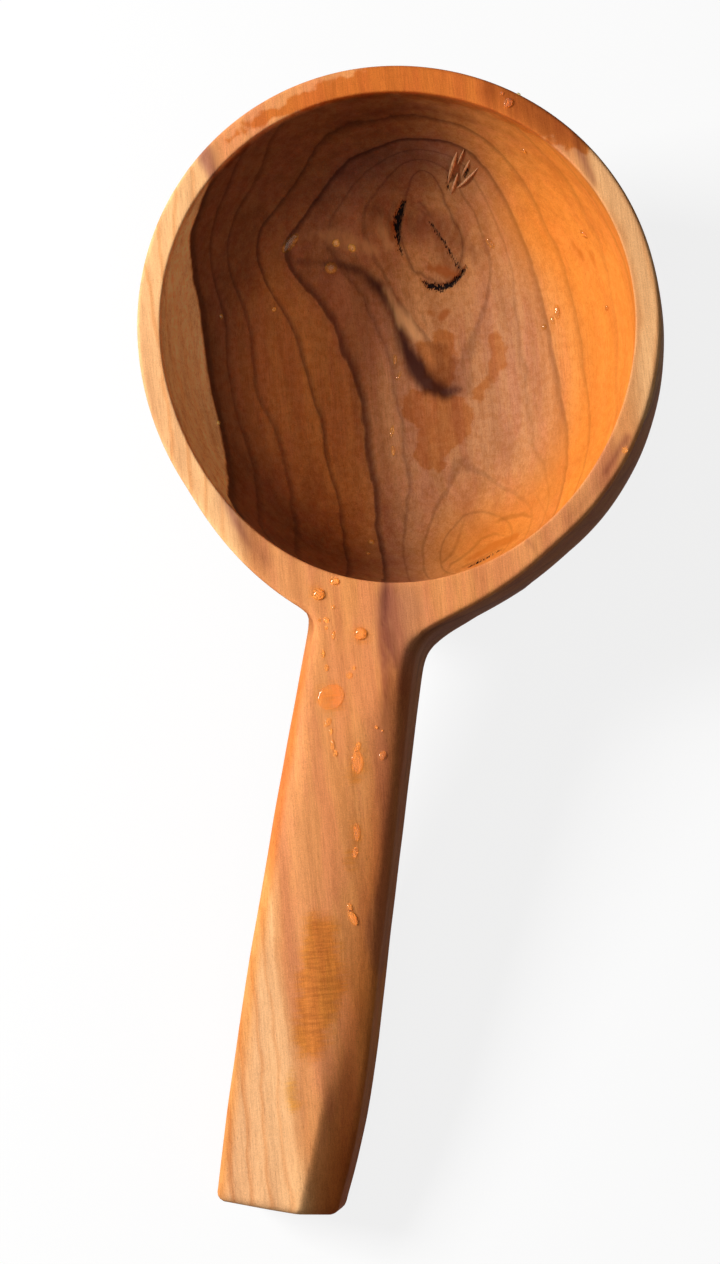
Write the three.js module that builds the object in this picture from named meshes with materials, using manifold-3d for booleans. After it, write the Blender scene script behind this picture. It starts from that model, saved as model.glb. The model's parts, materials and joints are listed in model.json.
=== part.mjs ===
// A water scoop carved from one block of wood: a round bowl, shoulders that run into a neck, and a
// whittled handle. Millimetres, +Z up. The scoop is shaped with its rim level, the middle of its
// mouth at the origin and its handle along -Y. It is then rolled back until the bowl and the
// handle's heel rest on one plane, and stands with the middle of its foot at the origin.

import * as THREE from 'three';
import { mergeVertices } from 'three/addons/utils/BufferGeometryUtils.js';
import Module from 'manifold-3d';

const degrees = Math.PI / 180;

// Bowl, outside. The rim is carved by eye, so it is a little oval and a little three-sided.
const rimEdge = { radius: 75, x: -0.4, y: 0.8, oval: 2.1, ovalAt: 126, lobe: 0.6, lobeAt: 30 };
const bowlDepth = 66;
const bowlSquareness = 3.5;
const rimRound = 1.2;

// Bowl, inside. The mouth has a shape of its own, so the rim is wider in some places.
const rimWidth = 6.8;
const mouthEdge = { x: 0, y: 0, oval: 2.1, ovalAt: 123, lobe: 0.9, lobeAt: 35 };
const floorThickness = 9;
const cavitySquareness = 2.8;
const mouthRound = 0.5;

// Shoulders: how far the rim reaches out towards the neck on each side, and how many degrees round
// from the neck they start. One side's reach crosses over to the other's within a few degrees.
const shoulderLeft = 11.5;
const shoulderRight = 8;
const shoulderSpread = 46;
const shoulderCurve = 1.4;
const shoulderCross = 8;

// Handle. It lies a little to the right of the bowl's middle.
const handleX = 2.5;
const neckY = -80;
const handleLength = 162.8;
const neckHalfWidth = 15.7;
const endHalfWidth = 17.9;
const neckThickness = 27;
const endThickness = 24.5;
const undersideRound = 9;
const arrisRound = 1.6;
const endRound = 2.6;

// Hollow curves where the handle grows out of the bowl, as a slope and a softness.
const neckSlope = 48;
const neckSoftLeft = 1.4;
const neckSoftRight = 2.6;
const undersideSlope = 55;
const undersideSoft = 4.5;
const rootReach = 16;

// Facets along the top of the handle, each with its width in plan and its drop at the side, at the
// neck, in the middle and where they meet. There the top is a ridge, which runs on to the end.
const leftFacet = { neck: [5.5, 5], middle: [2.8, 2.6], ridge: [26.4, 4.2], middleAt: 0.36 };
const rightFacet = { neck: [7.5, 6], middle: [2.4, 3.2], ridge: [9.2, 8.4], middleAt: 0.46 };
const ridgeAt = 0.92;
const ridgeWidth = 0.4;
const facetSweep = 1.15;
const facetFade = 6;

// Where the scoop rests: how deep the foot and the heel are sanded flat.
const footFlatDepth = 0.9;
const heelFlatDepth = 0.4;

// Fineness of the faceted surfaces.
const bowlSegments = 84;
const bowlRings = 15;
const cavityRings = 15;
const roundSteps = 3;
const handleStations = 30;
const stationSpread = 1.5;

const wood = { color: 0xc98a52, roughness: 0.62, metalness: 0 };

const mouthRadius = rimEdge.radius - rimWidth;
const cavityDepth = bowlDepth - floorThickness;
const endY = neckY - handleLength;

// How far a hand-carved edge stands off its mean radius, at the angle phi from +X.
function outOfRound(edge, phi) {
  const oval = edge.oval * Math.cos(2 * (phi - edge.ovalAt * degrees));
  const lobe = edge.lobe * Math.cos(3 * (phi - edge.lobeAt * degrees));
  return oval + lobe;
}

// How far a shoulder stands off the bowl. It is full at the rim and fades to nothing at the bottom.
function shoulderReach(phi, z) {
  const fromNeck = Math.atan2(Math.cos(phi), -Math.sin(phi)) / degrees;
  const side = THREE.MathUtils.smoothstep(fromNeck, -shoulderCross, shoulderCross);
  const reach = THREE.MathUtils.lerp(shoulderLeft, shoulderRight, side);
  const share = Math.max(1 - Math.abs(fromNeck) / shoulderSpread, 0);
  return reach * share ** shoulderCurve * (1 - (z / bowlDepth) ** 2);
}

// Half of a squared-off dome in profile, from its lowest point on the axis up to its edge.
function domeProfile(radius, depth, squareness, rings) {
  const points = [new THREE.Vector2(0, -depth)];
  for (let i = 1; i <= rings; i += 1) {
    const down = (Math.PI / 2) * (1 - i / rings);
    const norm = (Math.cos(down) / radius) ** squareness + (Math.sin(down) / depth) ** squareness;
    const length = norm ** (-1 / squareness);
    points.push(new THREE.Vector2(length * Math.cos(down), -length * Math.sin(down)));
  }
  return points;
}

// The profile's last point, at the rim's level, replaced by a quarter round.
function roundTheEdge(profile, size, outwards) {
  const edge = profile.pop();
  const turnIn = outwards ? size : -size;
  for (let i = 0; i <= roundSteps; i += 1) {
    const turn = (Math.PI / 2) * (i / roundSteps);
    const x = edge.x + turnIn * (1 - Math.cos(turn));
    profile.push(new THREE.Vector2(x, -size * (1 - Math.sin(turn))));
  }
  return profile;
}

// A profile turned about Z, then eased out of round by the reach that each point asks for.
function carvedDome(profile, centre, reachAt) {
  const geometry = new THREE.LatheGeometry(profile, bowlSegments).rotateX(Math.PI / 2);
  const position = geometry.getAttribute('position');
  const point = new THREE.Vector3();
  const widest = Math.max(...profile.map((place) => place.x));
  for (let i = 0; i < position.count; i += 1) {
    point.fromBufferAttribute(position, i);
    const z = Math.abs(point.z) < 1e-6 ? 0 : point.z;
    const ease = 1 + reachAt(Math.atan2(point.y, point.x), z) / widest;
    position.setXYZ(i, centre.x + point.x * ease, centre.y + point.y * ease, z);
  }
  return geometry;
}

function bowlBlank() {
  const dome = domeProfile(rimEdge.radius, bowlDepth, bowlSquareness, bowlRings);
  const profile = roundTheEdge(dome, rimRound, false);
  profile.push(new THREE.Vector2(0, 0));
  return carvedDome(profile, rimEdge, (phi, z) => outOfRound(rimEdge, phi) + shoulderReach(phi, z));
}

// The wood that is hollowed out, with a lid above the rim so that the cut runs clear.
function cavityCut() {
  const dome = domeProfile(mouthRadius, cavityDepth, cavitySquareness, cavityRings);
  const profile = roundTheEdge(dome, mouthRound, true);
  profile.push(new THREE.Vector2(mouthRadius + mouthRound, rimWidth));
  profile.push(new THREE.Vector2(0, rimWidth));
  return carvedDome(profile, mouthEdge, (phi) => outOfRound(mouthEdge, phi));
}

// A soft corner between two runs: close to nothing before the start, a steady slope after it.
function softCorner(distance, slope, softness) {
  return softness * Math.log1p(Math.exp((distance * Math.tan(slope * degrees)) / softness));
}

// Width and drop of a facet at a share of the handle's length.
function facetAt(facet, share) {
  const before = share < facet.middleAt;
  const from = before ? facet.neck : facet.middle;
  const to = before ? facet.middle : facet.ridge;
  const passed = before ? share / facet.middleAt : (share - facet.middleAt) / (ridgeAt - facet.middleAt);
  const blend = Math.min(passed, 1) ** facetSweep;
  return from.map((value, i) => THREE.MathUtils.lerp(value, to[i], blend));
}

// Points round a polygon in the XZ plane, with each corner eased by its own amount, but never past
// the middle of a side.
const justUnderHalf = 0.49;

function softPolygon(corners, y) {
  const points = [];
  corners.forEach((corner, i) => {
    const here = new THREE.Vector2(corner.x, corner.z);
    const easedTowards = (other) => {
      const run = new THREE.Vector2(other.x, other.z).sub(here);
      return here.clone().add(run.setLength(Math.min(corner.round, run.length() * justUnderHalf)));
    };
    const start = easedTowards(corners[(i + corners.length - 1) % corners.length]);
    const end = easedTowards(corners[(i + 1) % corners.length]);
    const curve = new THREE.QuadraticBezierCurve(start, here, end);
    curve.getPoints(roundSteps).forEach((point) => points.push(new THREE.Vector3(point.x, y, point.y)));
  });
  return points;
}

// One section across the handle, drawn in towards its middle by inset.
function handleSection(y, inset) {
  const share = THREE.MathUtils.clamp((neckY - y) / handleLength, 0, 1);
  const half = THREE.MathUtils.lerp(neckHalfWidth, endHalfWidth, share) - inset;
  const left = handleX - half - softCorner(y - neckY, neckSlope, neckSoftLeft);
  const right = handleX + half + softCorner(y - neckY, neckSlope, neckSoftRight);
  const thickness = THREE.MathUtils.lerp(neckThickness, endThickness, share);
  const deeper = softCorner(y - neckY, undersideSlope, undersideSoft);
  const bottom = inset - thickness - deeper;
  const fade = 1 - THREE.MathUtils.smoothstep(y, neckY - facetFade, neckY + facetFade);
  const [leftWidth, leftDrop] = facetAt(leftFacet, share).map((size) => size * fade);
  const [rightWidth, rightDrop] = facetAt(rightFacet, share).map((size) => size * fade);
  const rightRidge = right - rightWidth;
  const leftRidge = Math.min(left + leftWidth, rightRidge - ridgeWidth);
  const top = -inset;
  return softPolygon([
    { x: leftRidge, z: top, round: arrisRound },
    { x: left, z: top - leftDrop - ridgeWidth, round: arrisRound },
    { x: left, z: bottom, round: undersideRound + deeper },
    { x: right, z: bottom, round: undersideRound + deeper },
    { x: right, z: top - rightDrop - ridgeWidth, round: arrisRound },
    { x: rightRidge, z: top, round: arrisRound },
  ], y);
}

// Sections from the handle's rounded end to its root inside the bowl's wall.
function handleSections() {
  const sections = [];
  for (let i = roundSteps; i >= 1; i -= 1) {
    const turn = (Math.PI / 2) * (i / roundSteps);
    const y = endY + endRound * (1 - Math.sin(turn));
    sections.push(handleSection(y, endRound * (1 - Math.cos(turn))));
  }
  for (let i = 0; i <= handleStations; i += 1) {
    const share = 1 - (1 - i / handleStations) ** stationSpread;
    sections.push(handleSection(THREE.MathUtils.lerp(endY + endRound, neckY + rootReach, share), 0));
  }
  return sections;
}

// A closed skin through sections that all have the same number of points.
function loft(sections) {
  const count = sections[0].length;
  const vertices = sections.flat();
  const indices = [];
  const nextTo = (i) => (i + 1) % count;
  for (let s = 0; s < sections.length - 1; s += 1) {
    for (let i = 0; i < count; i += 1) {
      const a = s * count + i;
      const b = s * count + nextTo(i);
      indices.push(a, b + count, b, a, a + count, b + count);
    }
  }
  const last = (sections.length - 1) * count;
  vertices.push(middleOf(sections[0]), middleOf(sections[sections.length - 1]));
  for (let i = 0; i < count; i += 1) {
    indices.push(vertices.length - 2, i, nextTo(i));
    indices.push(vertices.length - 1, last + nextTo(i), last + i);
  }
  const geometry = new THREE.BufferGeometry().setFromPoints(vertices);
  geometry.setIndex(indices);
  return geometry;
}

function middleOf(points) {
  const sum = points.reduce((total, point) => total.add(point), new THREE.Vector3());
  return sum.divideScalar(points.length);
}

const wasm = await Module();
wasm.setup();

// A closed mesh as a solid that can be joined and cut.
function solidFrom(geometry) {
  geometry.deleteAttribute('normal');
  geometry.deleteAttribute('uv');
  const merged = mergeVertices(geometry, 1e-4);
  const corners = Array.from(merged.getIndex().array);
  const faces = [];
  for (let i = 0; i < corners.length; i += 3) {
    const [a, b, c] = corners.slice(i, i + 3);
    if (a !== b && b !== c && c !== a) faces.push(a, b, c);
  }
  const vertProperties = new Float32Array(merged.getAttribute('position').array);
  return new wasm.Manifold(new wasm.Mesh({ numProp: 3, vertProperties, triVerts: new Uint32Array(faces) }));
}

function geometryFrom(solid) {
  const mesh = solid.getMesh();
  const geometry = new THREE.BufferGeometry();
  geometry.setAttribute('position', new THREE.BufferAttribute(new Float32Array(mesh.vertProperties), 3));
  geometry.setIndex(new THREE.BufferAttribute(new Uint32Array(mesh.triVerts), 1));
  return geometry;
}

// The bowl's reach below the mouth's middle when the scoop is rolled back by tilt. A squared-off
// dome reaches as far as the norm of its two radii along that direction, with the dual exponent.
const dual = bowlSquareness / (bowlSquareness - 1);

function bowlSupport(tilt) {
  const norm = (rimEdge.radius * Math.sin(tilt)) ** dual + (bowlDepth * Math.cos(tilt)) ** dual;
  return norm ** (1 / dual);
}

function bowlReach(tilt) {
  return bowlSupport(tilt) - rimEdge.y * Math.sin(tilt);
}

// The heel is the rounded lower edge of the handle's end.
function heelReach(tilt) {
  const back = -(endY + endRound) * Math.sin(tilt);
  return back + (endThickness - endRound) * Math.cos(tilt) + endRound;
}

// Roll back until the sanded bowl and the sanded heel meet the same plane.
function findRestTilt() {
  const halvings = 40;
  let low = 0;
  let high = 45 * degrees;
  for (let i = 0; i < halvings; i += 1) {
    const tilt = (low + high) / 2;
    const onTheBowl = bowlReach(tilt) - footFlatDepth > heelReach(tilt) - heelFlatDepth;
    if (onTheBowl) low = tilt;
    else high = tilt;
  }
  return low;
}

const restTilt = findRestTilt();
const restHeight = bowlReach(restTilt) - footFlatDepth;

// The point of the bowl's underside that would touch first, which is the middle of the foot.
function footMiddle() {
  const across = (rimEdge.radius * Math.sin(restTilt)) / bowlSupport(restTilt);
  const down = (bowlDepth * Math.cos(restTilt)) / bowlSupport(restTilt);
  const y = rimEdge.y - rimEdge.radius * across ** (dual - 1);
  return new THREE.Vector3(rimEdge.x, y, -bowlDepth * down ** (dual - 1));
}

// Everything below the plane that the scoop rests on, to be sanded away.
function belowRest() {
  const size = 4 * (handleLength + rimEdge.radius);
  const block = new THREE.BoxGeometry(size, size, size);
  return block.translate(0, 0, -size / 2 - restHeight).rotateX(-restTilt);
}

// The bowl and the handle joined, the cavity hollowed out, then the foot and the heel sanded.
function carvedScoop() {
  const bowl = solidFrom(bowlBlank());
  const handle = solidFrom(loft(handleSections()));
  const cavity = solidFrom(cavityCut());
  const sanding = solidFrom(belowRest());
  return geometryFrom(bowl.add(handle).subtract(cavity).subtract(sanding));
}

const scoop = new THREE.Mesh(carvedScoop(), new THREE.MeshStandardMaterial(wood));
scoop.name = 'scoop_body';

// The level scoop rolled back, with the middle of its foot brought to the origin.
const atRest = new THREE.Group();
atRest.rotation.x = restTilt;
const foot = footMiddle().applyEuler(atRest.rotation);
atRest.position.set(-foot.x, -foot.y, restHeight);
atRest.add(scoop);

const object = new THREE.Group();
object.add(atRest);

export default object;
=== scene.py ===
"""A water scoop carved from one block of wood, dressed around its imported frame.

The scoop is worked out level: millimetres, the middle of its mouth at the origin, its rim at
height zero and its handle along -Y. RestPlace then rolls it back to where the frame has it.
A place on the wood is a level place, or a pixel of the 720 x 1264 photograph, which Sight brings
onto the wood.
"""

import json
import logging
import math
from collections.abc import Callable, Sequence
from dataclasses import dataclass, field
from enum import Enum

import bmesh
import bpy
import numpy as np
from mathutils import Matrix, Vector
from mathutils.bvhtree import BVHTree
from numpy.typing import NDArray


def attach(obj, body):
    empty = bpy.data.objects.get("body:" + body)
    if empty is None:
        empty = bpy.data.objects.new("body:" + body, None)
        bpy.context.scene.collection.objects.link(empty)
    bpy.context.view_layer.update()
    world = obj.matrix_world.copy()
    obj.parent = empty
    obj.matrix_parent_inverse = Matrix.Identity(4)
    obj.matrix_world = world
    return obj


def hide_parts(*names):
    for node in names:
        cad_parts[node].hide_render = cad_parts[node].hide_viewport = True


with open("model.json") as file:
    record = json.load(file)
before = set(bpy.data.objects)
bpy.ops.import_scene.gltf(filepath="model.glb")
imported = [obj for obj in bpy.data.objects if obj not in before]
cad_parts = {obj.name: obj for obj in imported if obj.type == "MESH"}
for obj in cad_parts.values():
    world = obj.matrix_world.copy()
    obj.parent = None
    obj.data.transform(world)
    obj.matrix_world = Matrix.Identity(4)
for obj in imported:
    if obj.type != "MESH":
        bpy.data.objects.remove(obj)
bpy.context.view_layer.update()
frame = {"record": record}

Array = NDArray[np.float64]
Field = Callable[[Array], Array]
Socket = bpy.types.NodeSocket
Colour = tuple[float, float, float]
Place = tuple[float, float, float]
Pixel = tuple[int, int]
Pair = tuple[float, float]
Feed = Socket | float | Colour
Stop = tuple[float, Colour]

log = logging.getLogger("water_scoop")
MM = 0.001
QUARTER = math.pi / 2.0
HALVINGS = 34
RINGS = "rings"
RING_SCALE = 100.0


def smoothstep(value: Array, low: float, high: float) -> Array:
    """Ease from 0 at low to 1 at high."""
    t = np.clip((value - low) / (high - low), 0.0, 1.0)
    return t * t * (3.0 - 2.0 * t)


def soft_corner(distance: Array, slope: float, softness: float) -> Array:
    """Turn softly from nothing to a steady slope, given in degrees."""
    return softness * np.logaddexp(0.0, distance * math.tan(math.radians(slope)) / softness)


def soft_least(a: Array, b: Array, softness: float) -> Array:
    """Join two solids, given as distances, with a soft hollow between them."""
    h = np.maximum(softness - np.abs(a - b), 0.0) / softness
    return np.minimum(a, b) - h * h * softness / 4.0


def soft_most(a: Array, b: Array, softness: float) -> Array:
    """Keep what two solids share, with a soft edge where they meet."""
    return -soft_least(-a, -b, softness)


def round_corner(a: Array, b: Array, radius: Array | float) -> Array:
    """Keep what two solids share, with the edge where they meet turned to a radius."""
    outer = np.hypot(np.maximum(a + radius, 0.0), np.maximum(b + radius, 0.0)) - radius
    return outer + np.minimum(np.maximum(a + radius, b + radius), 0.0)


def cast(distance: Field, start: Array, ray: Array, reach: float) -> Array:
    """Follow rays from inside a solid to its skin.

    Args:
        distance: The solid, negative inside.
        start: Points inside it.
        ray: A ray from each, whose length counts as 1.
        reach: How many of those lengths to look along.

    Returns:
        The point where each ray leaves the solid.
    """
    low = np.zeros(start.shape[:-1])
    high = np.full(start.shape[:-1], reach)
    for _ in range(HALVINGS):
        middle = (low + high) / 2.0
        out = distance(start + ray * middle[..., None]) > 0.0
        high = np.where(out, middle, high)
        low = np.where(out, low, middle)
    return start + ray * low[..., None]


def along(points: Array, count: int) -> Array:
    """Space points evenly along a line.

    Args:
        points: The line's own points.
        count: How many steps to take.

    Returns:
        count + 1 points.
    """
    steps = np.hypot(*np.diff(points, axis=0).T)
    run = np.concatenate([[0.0], np.cumsum(steps)])
    wanted = np.linspace(0.0, run[-1], count + 1)
    return np.stack([np.interp(wanted, run, points[:, k]) for k in range(points.shape[1])], -1)


def eased(count: int, gather: float) -> Array:
    """Give count + 1 shares from 0 to 1 that gather towards both ends."""
    even = np.linspace(0.0, 1.0, count + 1)
    return even * (1.0 - gather) + gather * (0.5 - 0.5 * np.cos(math.pi * even))


@dataclass(frozen=True)
class Edge:
    """A hand-carved edge round the bowl: a circle that is a little oval and three-sided."""

    radius: float
    x: float
    y: float
    oval: float
    oval_at: float
    lobe: float
    lobe_at: float

    def ease(self, phi: Array) -> Array:
        """Give how far the edge stands off its radius at each angle."""
        oval = self.oval * np.cos(2.0 * (phi - math.radians(self.oval_at)))
        return oval + self.lobe * np.cos(3.0 * (phi - math.radians(self.lobe_at)))


@dataclass(frozen=True)
class Facet:
    """A facet along the handle's top: width and drop at the neck, in the middle, at the ridge."""

    neck: tuple[float, float]
    middle: tuple[float, float]
    ridge: tuple[float, float]
    middle_at: float
    ridge_at: float = 0.92
    sweep: float = 1.15

    def at(self, share: Array) -> tuple[Array, Array]:
        """Work out the facet's size along the handle.

        Args:
            share: Shares of the handle's length.

        Returns:
            The width and the drop at each share.
        """
        before = np.clip(share / self.middle_at, 0.0, 1.0) ** self.sweep
        after = (share - self.middle_at) / (self.ridge_at - self.middle_at)
        after = np.clip(after, 0.0, 1.0) ** self.sweep
        width, drop = (
            neck + (middle - neck) * before + (ridge - middle) * after
            for neck, middle, ridge in zip(self.neck, self.middle, self.ridge)
        )
        return width, drop


@dataclass(frozen=True)
class ScoopShape:
    """The scoop's sizes, and the distance of any point from its outer skin."""

    rim: Edge = Edge(75.0, -0.4, 0.8, 2.1, 126.0, 0.6, 30.0)
    mouth: Edge = Edge(68.2, 0.0, 0.0, 2.1, 123.0, 0.9, 35.0)
    depth: float = 66.0
    squareness: float = 3.5
    rim_round: float = 1.2
    cavity_depth: float = 57.0
    cavity_squareness: float = 2.8
    mouth_round: float = 0.6
    shoulder_left: float = 8.8
    shoulder_right: float = 12.0
    shoulder_spread: float = 46.0
    shoulder_curve: float = 1.4
    shoulder_cross: float = 8.0
    handle_x: float = 2.5
    neck_y: float = -80.0
    handle_length: float = 162.8
    root_reach: float = 16.0
    neck_half: float = 15.7
    end_half: float = 17.9
    neck_thick: float = 27.0
    end_thick: float = 24.5
    under_round: float = 8.0
    arris: float = 0.9
    end_round: float = 2.6
    neck_slope: Pair = (54.0, 50.0)
    neck_shift: Pair = (1.8, -4.8)
    neck_soft: Pair = (1.4, 2.6)
    under_slope: float = 55.0
    under_soft: float = 4.5
    left_facet: Facet = Facet((5.5, 5.0), (2.8, 2.6), (26.4, 4.2), 0.36)
    right_facet: Facet = Facet((1.2, 1.4), (7.0, 3.3), (9.6, 6.4), 0.22)
    ridge_width: float = 0.4
    facet_fade: float = 6.0
    join_soft: float = 2.0
    ridge_soft: Pair = (4.5, 3.4)
    ridge_crisp: Pair = (0.42, 0.66)
    top_round: float = 4.2
    top_from: Pair = (0.05, 0.26)
    top_until: Pair = (0.60, 0.86)
    top_crisp: float = 0.35
    crisp_from: Pair = (0.62, 0.84)
    trim_shares: tuple[float, ...] = (
        0.0, 0.20, 0.34, 0.54, 0.67, 0.74, 0.80, 0.87, 0.94, 0.977, 1.0,
    )
    trim_left: tuple[float, ...] = (
        -0.3, -0.7, -0.8, -0.7, -0.4, -0.2, -0.1, 0.1, 0.6, 0.9, 1.1,
    )
    trim_right: tuple[float, ...] = (0.0, 0.3, 0.7, 1.1, 1.6, 1.7, 1.6, 0.9, -0.2, -1.2, -1.8)
    trim_blur: float = 0.03
    end_skew: float = 0.05
    skew_pivot: float = 0.2
    skew_from: float = 0.8

    @property
    def end_y(self) -> float:
        """Give where the handle ends."""
        return self.neck_y - self.handle_length

    def share(self, y: Array) -> Array:
        """Give how far along the handle each y lies, from 0 at the neck to 1 at the end."""
        return np.clip((self.neck_y - y) / self.handle_length, 0.0, 1.0)

    def shoulder(self, phi: Array, z: Array) -> Array:
        """Work out how far a shoulder stands off the bowl, full at the rim and nothing below.

        Args:
            phi: Angles round the bowl.
            z: Heights.

        Returns:
            How far it stands off at each.
        """
        from_neck = np.degrees(np.arctan2(np.cos(phi), -np.sin(phi)))
        side = smoothstep(from_neck, -self.shoulder_cross, self.shoulder_cross)
        reach = self.shoulder_left + (self.shoulder_right - self.shoulder_left) * side
        near = np.maximum(1.0 - np.abs(from_neck) / self.shoulder_spread, 0.0)
        return reach * near**self.shoulder_curve * (1.0 - (z / self.depth) ** 2)

    def bowl(self, p: Array) -> Array:
        """Measure from the bowl's outside.

        Args:
            p: Points.

        Returns:
            Their distances, negative inside the bowl.
        """
        x, y, z = p[..., 0] - self.rim.x, p[..., 1] - self.rim.y, p[..., 2]
        phi = np.arctan2(y, x)
        below = np.clip(z, -self.depth, 0.0)
        ease = 1.0 + (self.rim.ease(phi) + self.shoulder(phi, below)) / self.rim.radius
        rho = np.hypot(x, y) / ease
        power = self.squareness
        norm = (rho / self.rim.radius) ** power + (np.abs(z) / self.depth) ** power
        norm = np.maximum(norm, 1e-9) ** (1.0 / power)
        return np.hypot(rho, z) * (1.0 - 1.0 / norm)

    def handle_sides(self, y: Array) -> tuple[Array, Array, Array, Array]:
        """Work out the handle's sides.

        Args:
            y: Places along it.

        Returns:
            Its left, its right, its bottom, and how much deeper it is where it joins the bowl.
        """
        share = self.share(y)
        half = self.neck_half + (self.end_half - self.neck_half) * share
        past = y - self.neck_y
        flares = [
            soft_corner(past - shift, slope, soft)
            for shift, slope, soft in zip(self.neck_shift, self.neck_slope, self.neck_soft)
        ]
        thick = self.neck_thick + (self.end_thick - self.neck_thick) * share
        deeper = soft_corner(past, self.under_slope, self.under_soft)
        left, right = self.handle_x - half - flares[0], self.handle_x + half + flares[1]
        return left, right, -thick - deeper, deeper

    def facets(self, y: Array) -> tuple[Array, Array, Array, Array]:
        """Work out the two facets.

        Args:
            y: Places along the handle.

        Returns:
            The left ridge and the left facet's drop, then the right ones.
        """
        share = self.share(y)
        left, right, _, _ = self.handle_sides(y)
        fade = 1.0 - smoothstep(y, self.neck_y - self.facet_fade, self.neck_y + self.facet_fade)
        left_width, left_drop = self.left_facet.at(share)
        right_width, right_drop = self.right_facet.at(share)
        right_ridge = right - right_width * fade
        left_ridge = np.minimum(left + left_width * fade, right_ridge - self.ridge_width)
        return left_ridge, left_drop * fade, right_ridge, right_drop * fade

    def section(self, y: float) -> Array:
        """Cut across the handle.

        Args:
            y: Where.

        Returns:
            The section's six corners, as x and z, from the left edge clockwise.
        """
        at = np.array(y)
        left, right, bottom, _ = self.handle_sides(at)
        left_ridge, left_drop, right_ridge, right_drop = self.facets(at)
        return np.array([
            (left, -left_drop - self.ridge_width), (left_ridge, 0.0), (right_ridge, 0.0),
            (right, -right_drop - self.ridge_width), (right, bottom), (left, bottom),
        ], float)

    def handle(self, p: Array) -> Array:
        """Measure from the handle, open at the top.

        Args:
            p: Points.

        Returns:
            Their distances, negative inside the handle.
        """
        x, y, z = p[..., 0], p[..., 1], p[..., 2]
        left, right, bottom, deeper = self.handle_sides(y)
        left_ridge, left_drop, right_ridge, right_drop = self.facets(y)
        radius = self.under_round + deeper
        crisp = smoothstep(self.share(y), *self.ridge_crisp)
        sides = np.maximum(
            round_corner(left - x, bottom - z, radius), round_corner(x - right, bottom - z, radius)
        )
        for ridge, edge, drop, way, soft in (
            (left_ridge, left, left_drop, -1.0, self.ridge_soft[0]),
            (right_ridge, right, right_drop, 1.0, self.ridge_soft[1]),
        ):
            width = np.abs(edge - ridge)
            fall = drop + self.ridge_width
            slant = ((x - ridge) * way * fall + z * width) / np.hypot(width, fall)
            sides = soft_most(sides, slant, soft + (self.arris - soft) * crisp)
        sides = round_corner(sides, self.end_y - y, self.end_round)
        return np.maximum(sides, y - self.neck_y - self.root_reach)

    def skin(self, p: Array) -> Array:
        """Give the distance of points from bowl and handle joined, open at the top."""
        return soft_least(self.bowl(p), self.handle(p), self.join_soft)

    def outside(self, p: Array) -> Array:
        """Measure from the whole blank, rim and all.

        Args:
            p: Points.

        Returns:
            Their distances, negative inside the blank.
        """
        share = (self.neck_y - p[..., 1]) / self.handle_length
        rounder = smoothstep(share, *self.top_from) * (1.0 - smoothstep(share, *self.top_until))
        crisp = smoothstep(share, *self.crisp_from)
        plain = self.rim_round + (self.top_crisp - self.rim_round) * crisp
        radius = plain + (self.top_round - plain) * rounder
        return round_corner(self.skin(p), p[..., 2], radius)

    def trimmed(self, p: Array) -> Array:
        """Trim the handle by hand, so that it strays from straight and its end from square.

        Args:
            p: Points of the straight scoop.

        Returns:
            Where they come to lie.
        """
        share = self.share(p[:, 1])
        wide = 2.0 * self.neck_half
        across = np.clip((p[:, 0] - self.handle_x) / wide + 0.5, 0.0, 1.0)
        steps = (-self.trim_blur, 0.0, self.trim_blur)
        left, right = (
            sum(np.interp(share + step, self.trim_shares, trim) for step in steps) / len(steps)
            for trim in (self.trim_left, self.trim_right)
        )
        moved = p.copy()
        moved[:, 0] += left + (right - left) * across
        skew = self.end_skew * (across - self.skew_pivot) * wide
        moved[:, 1] += skew * smoothstep(share, self.skew_from, 1.0)
        return moved

    def cavity_norm(self, p: Array) -> Array:
        """Measure how far out in the hollow points lie.

        Args:
            p: Points below the rim.

        Returns:
            A number for each, 1 on the hollow's wall and less inside.
        """
        edge = self.mouth
        phi = np.arctan2(p[..., 1], p[..., 0])
        rho = np.hypot(p[..., 0], p[..., 1]) / (1.0 + edge.ease(phi) / edge.radius)
        power = self.cavity_squareness
        return (rho / edge.radius) ** power + (np.abs(p[..., 2]) / self.cavity_depth) ** power

    def on_cavity(self, p: Array) -> Array:
        """Move points straight out from the mouth's middle onto the hollow's wall."""
        return p * (self.cavity_norm(p) ** (-1.0 / self.cavity_squareness))[:, None]


@dataclass(frozen=True)
class Sight:
    """Where the photograph was taken from, in the level frame, and what its pixels show."""

    shape: ScoopShape
    eye: Place = (127.6, -129.7, 558.4)
    right: Place = (0.9682, 0.1452, -0.2036)
    up: Place = (-0.1253, 0.9862, 0.1079)
    focal: float = 2095.7
    picture: tuple[int, int] = (720, 1264)
    past_wall: float = 0.4

    def axes(self) -> tuple[Array, Array, Array]:
        """Work out the camera's axes.

        Returns:
            Its right, up and forward, square to each other.
        """
        right = np.array(self.right) / np.linalg.norm(self.right)
        up = np.array(self.up) - right * (right @ np.array(self.up))
        up /= np.linalg.norm(up)
        return right, up, np.cross(up, right)

    def on_wood(self, point: Pixel | Place) -> Array:
        """Find a place on the wood.

        Args:
            point: A pixel of the photograph, or a level place, which stays as it is.

        Returns:
            The level place: on the hollow's wall, or at the rim's height outside the mouth.
        """
        if len(point) == 3:
            return np.array(point, float)
        right, up, forward = self.axes()
        x, y = point[0] - self.picture[0] / 2.0, self.picture[1] / 2.0 - point[1]
        ray = right * x + up * y + forward * self.focal
        ray *= -self.eye[2] / ray[2]
        place = np.array(self.eye) + ray
        if self.shape.cavity_norm(place) > 1.0:
            return place
        return cast(lambda p: self.shape.cavity_norm(p) - 1.0, place, ray, self.past_wall)


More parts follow.
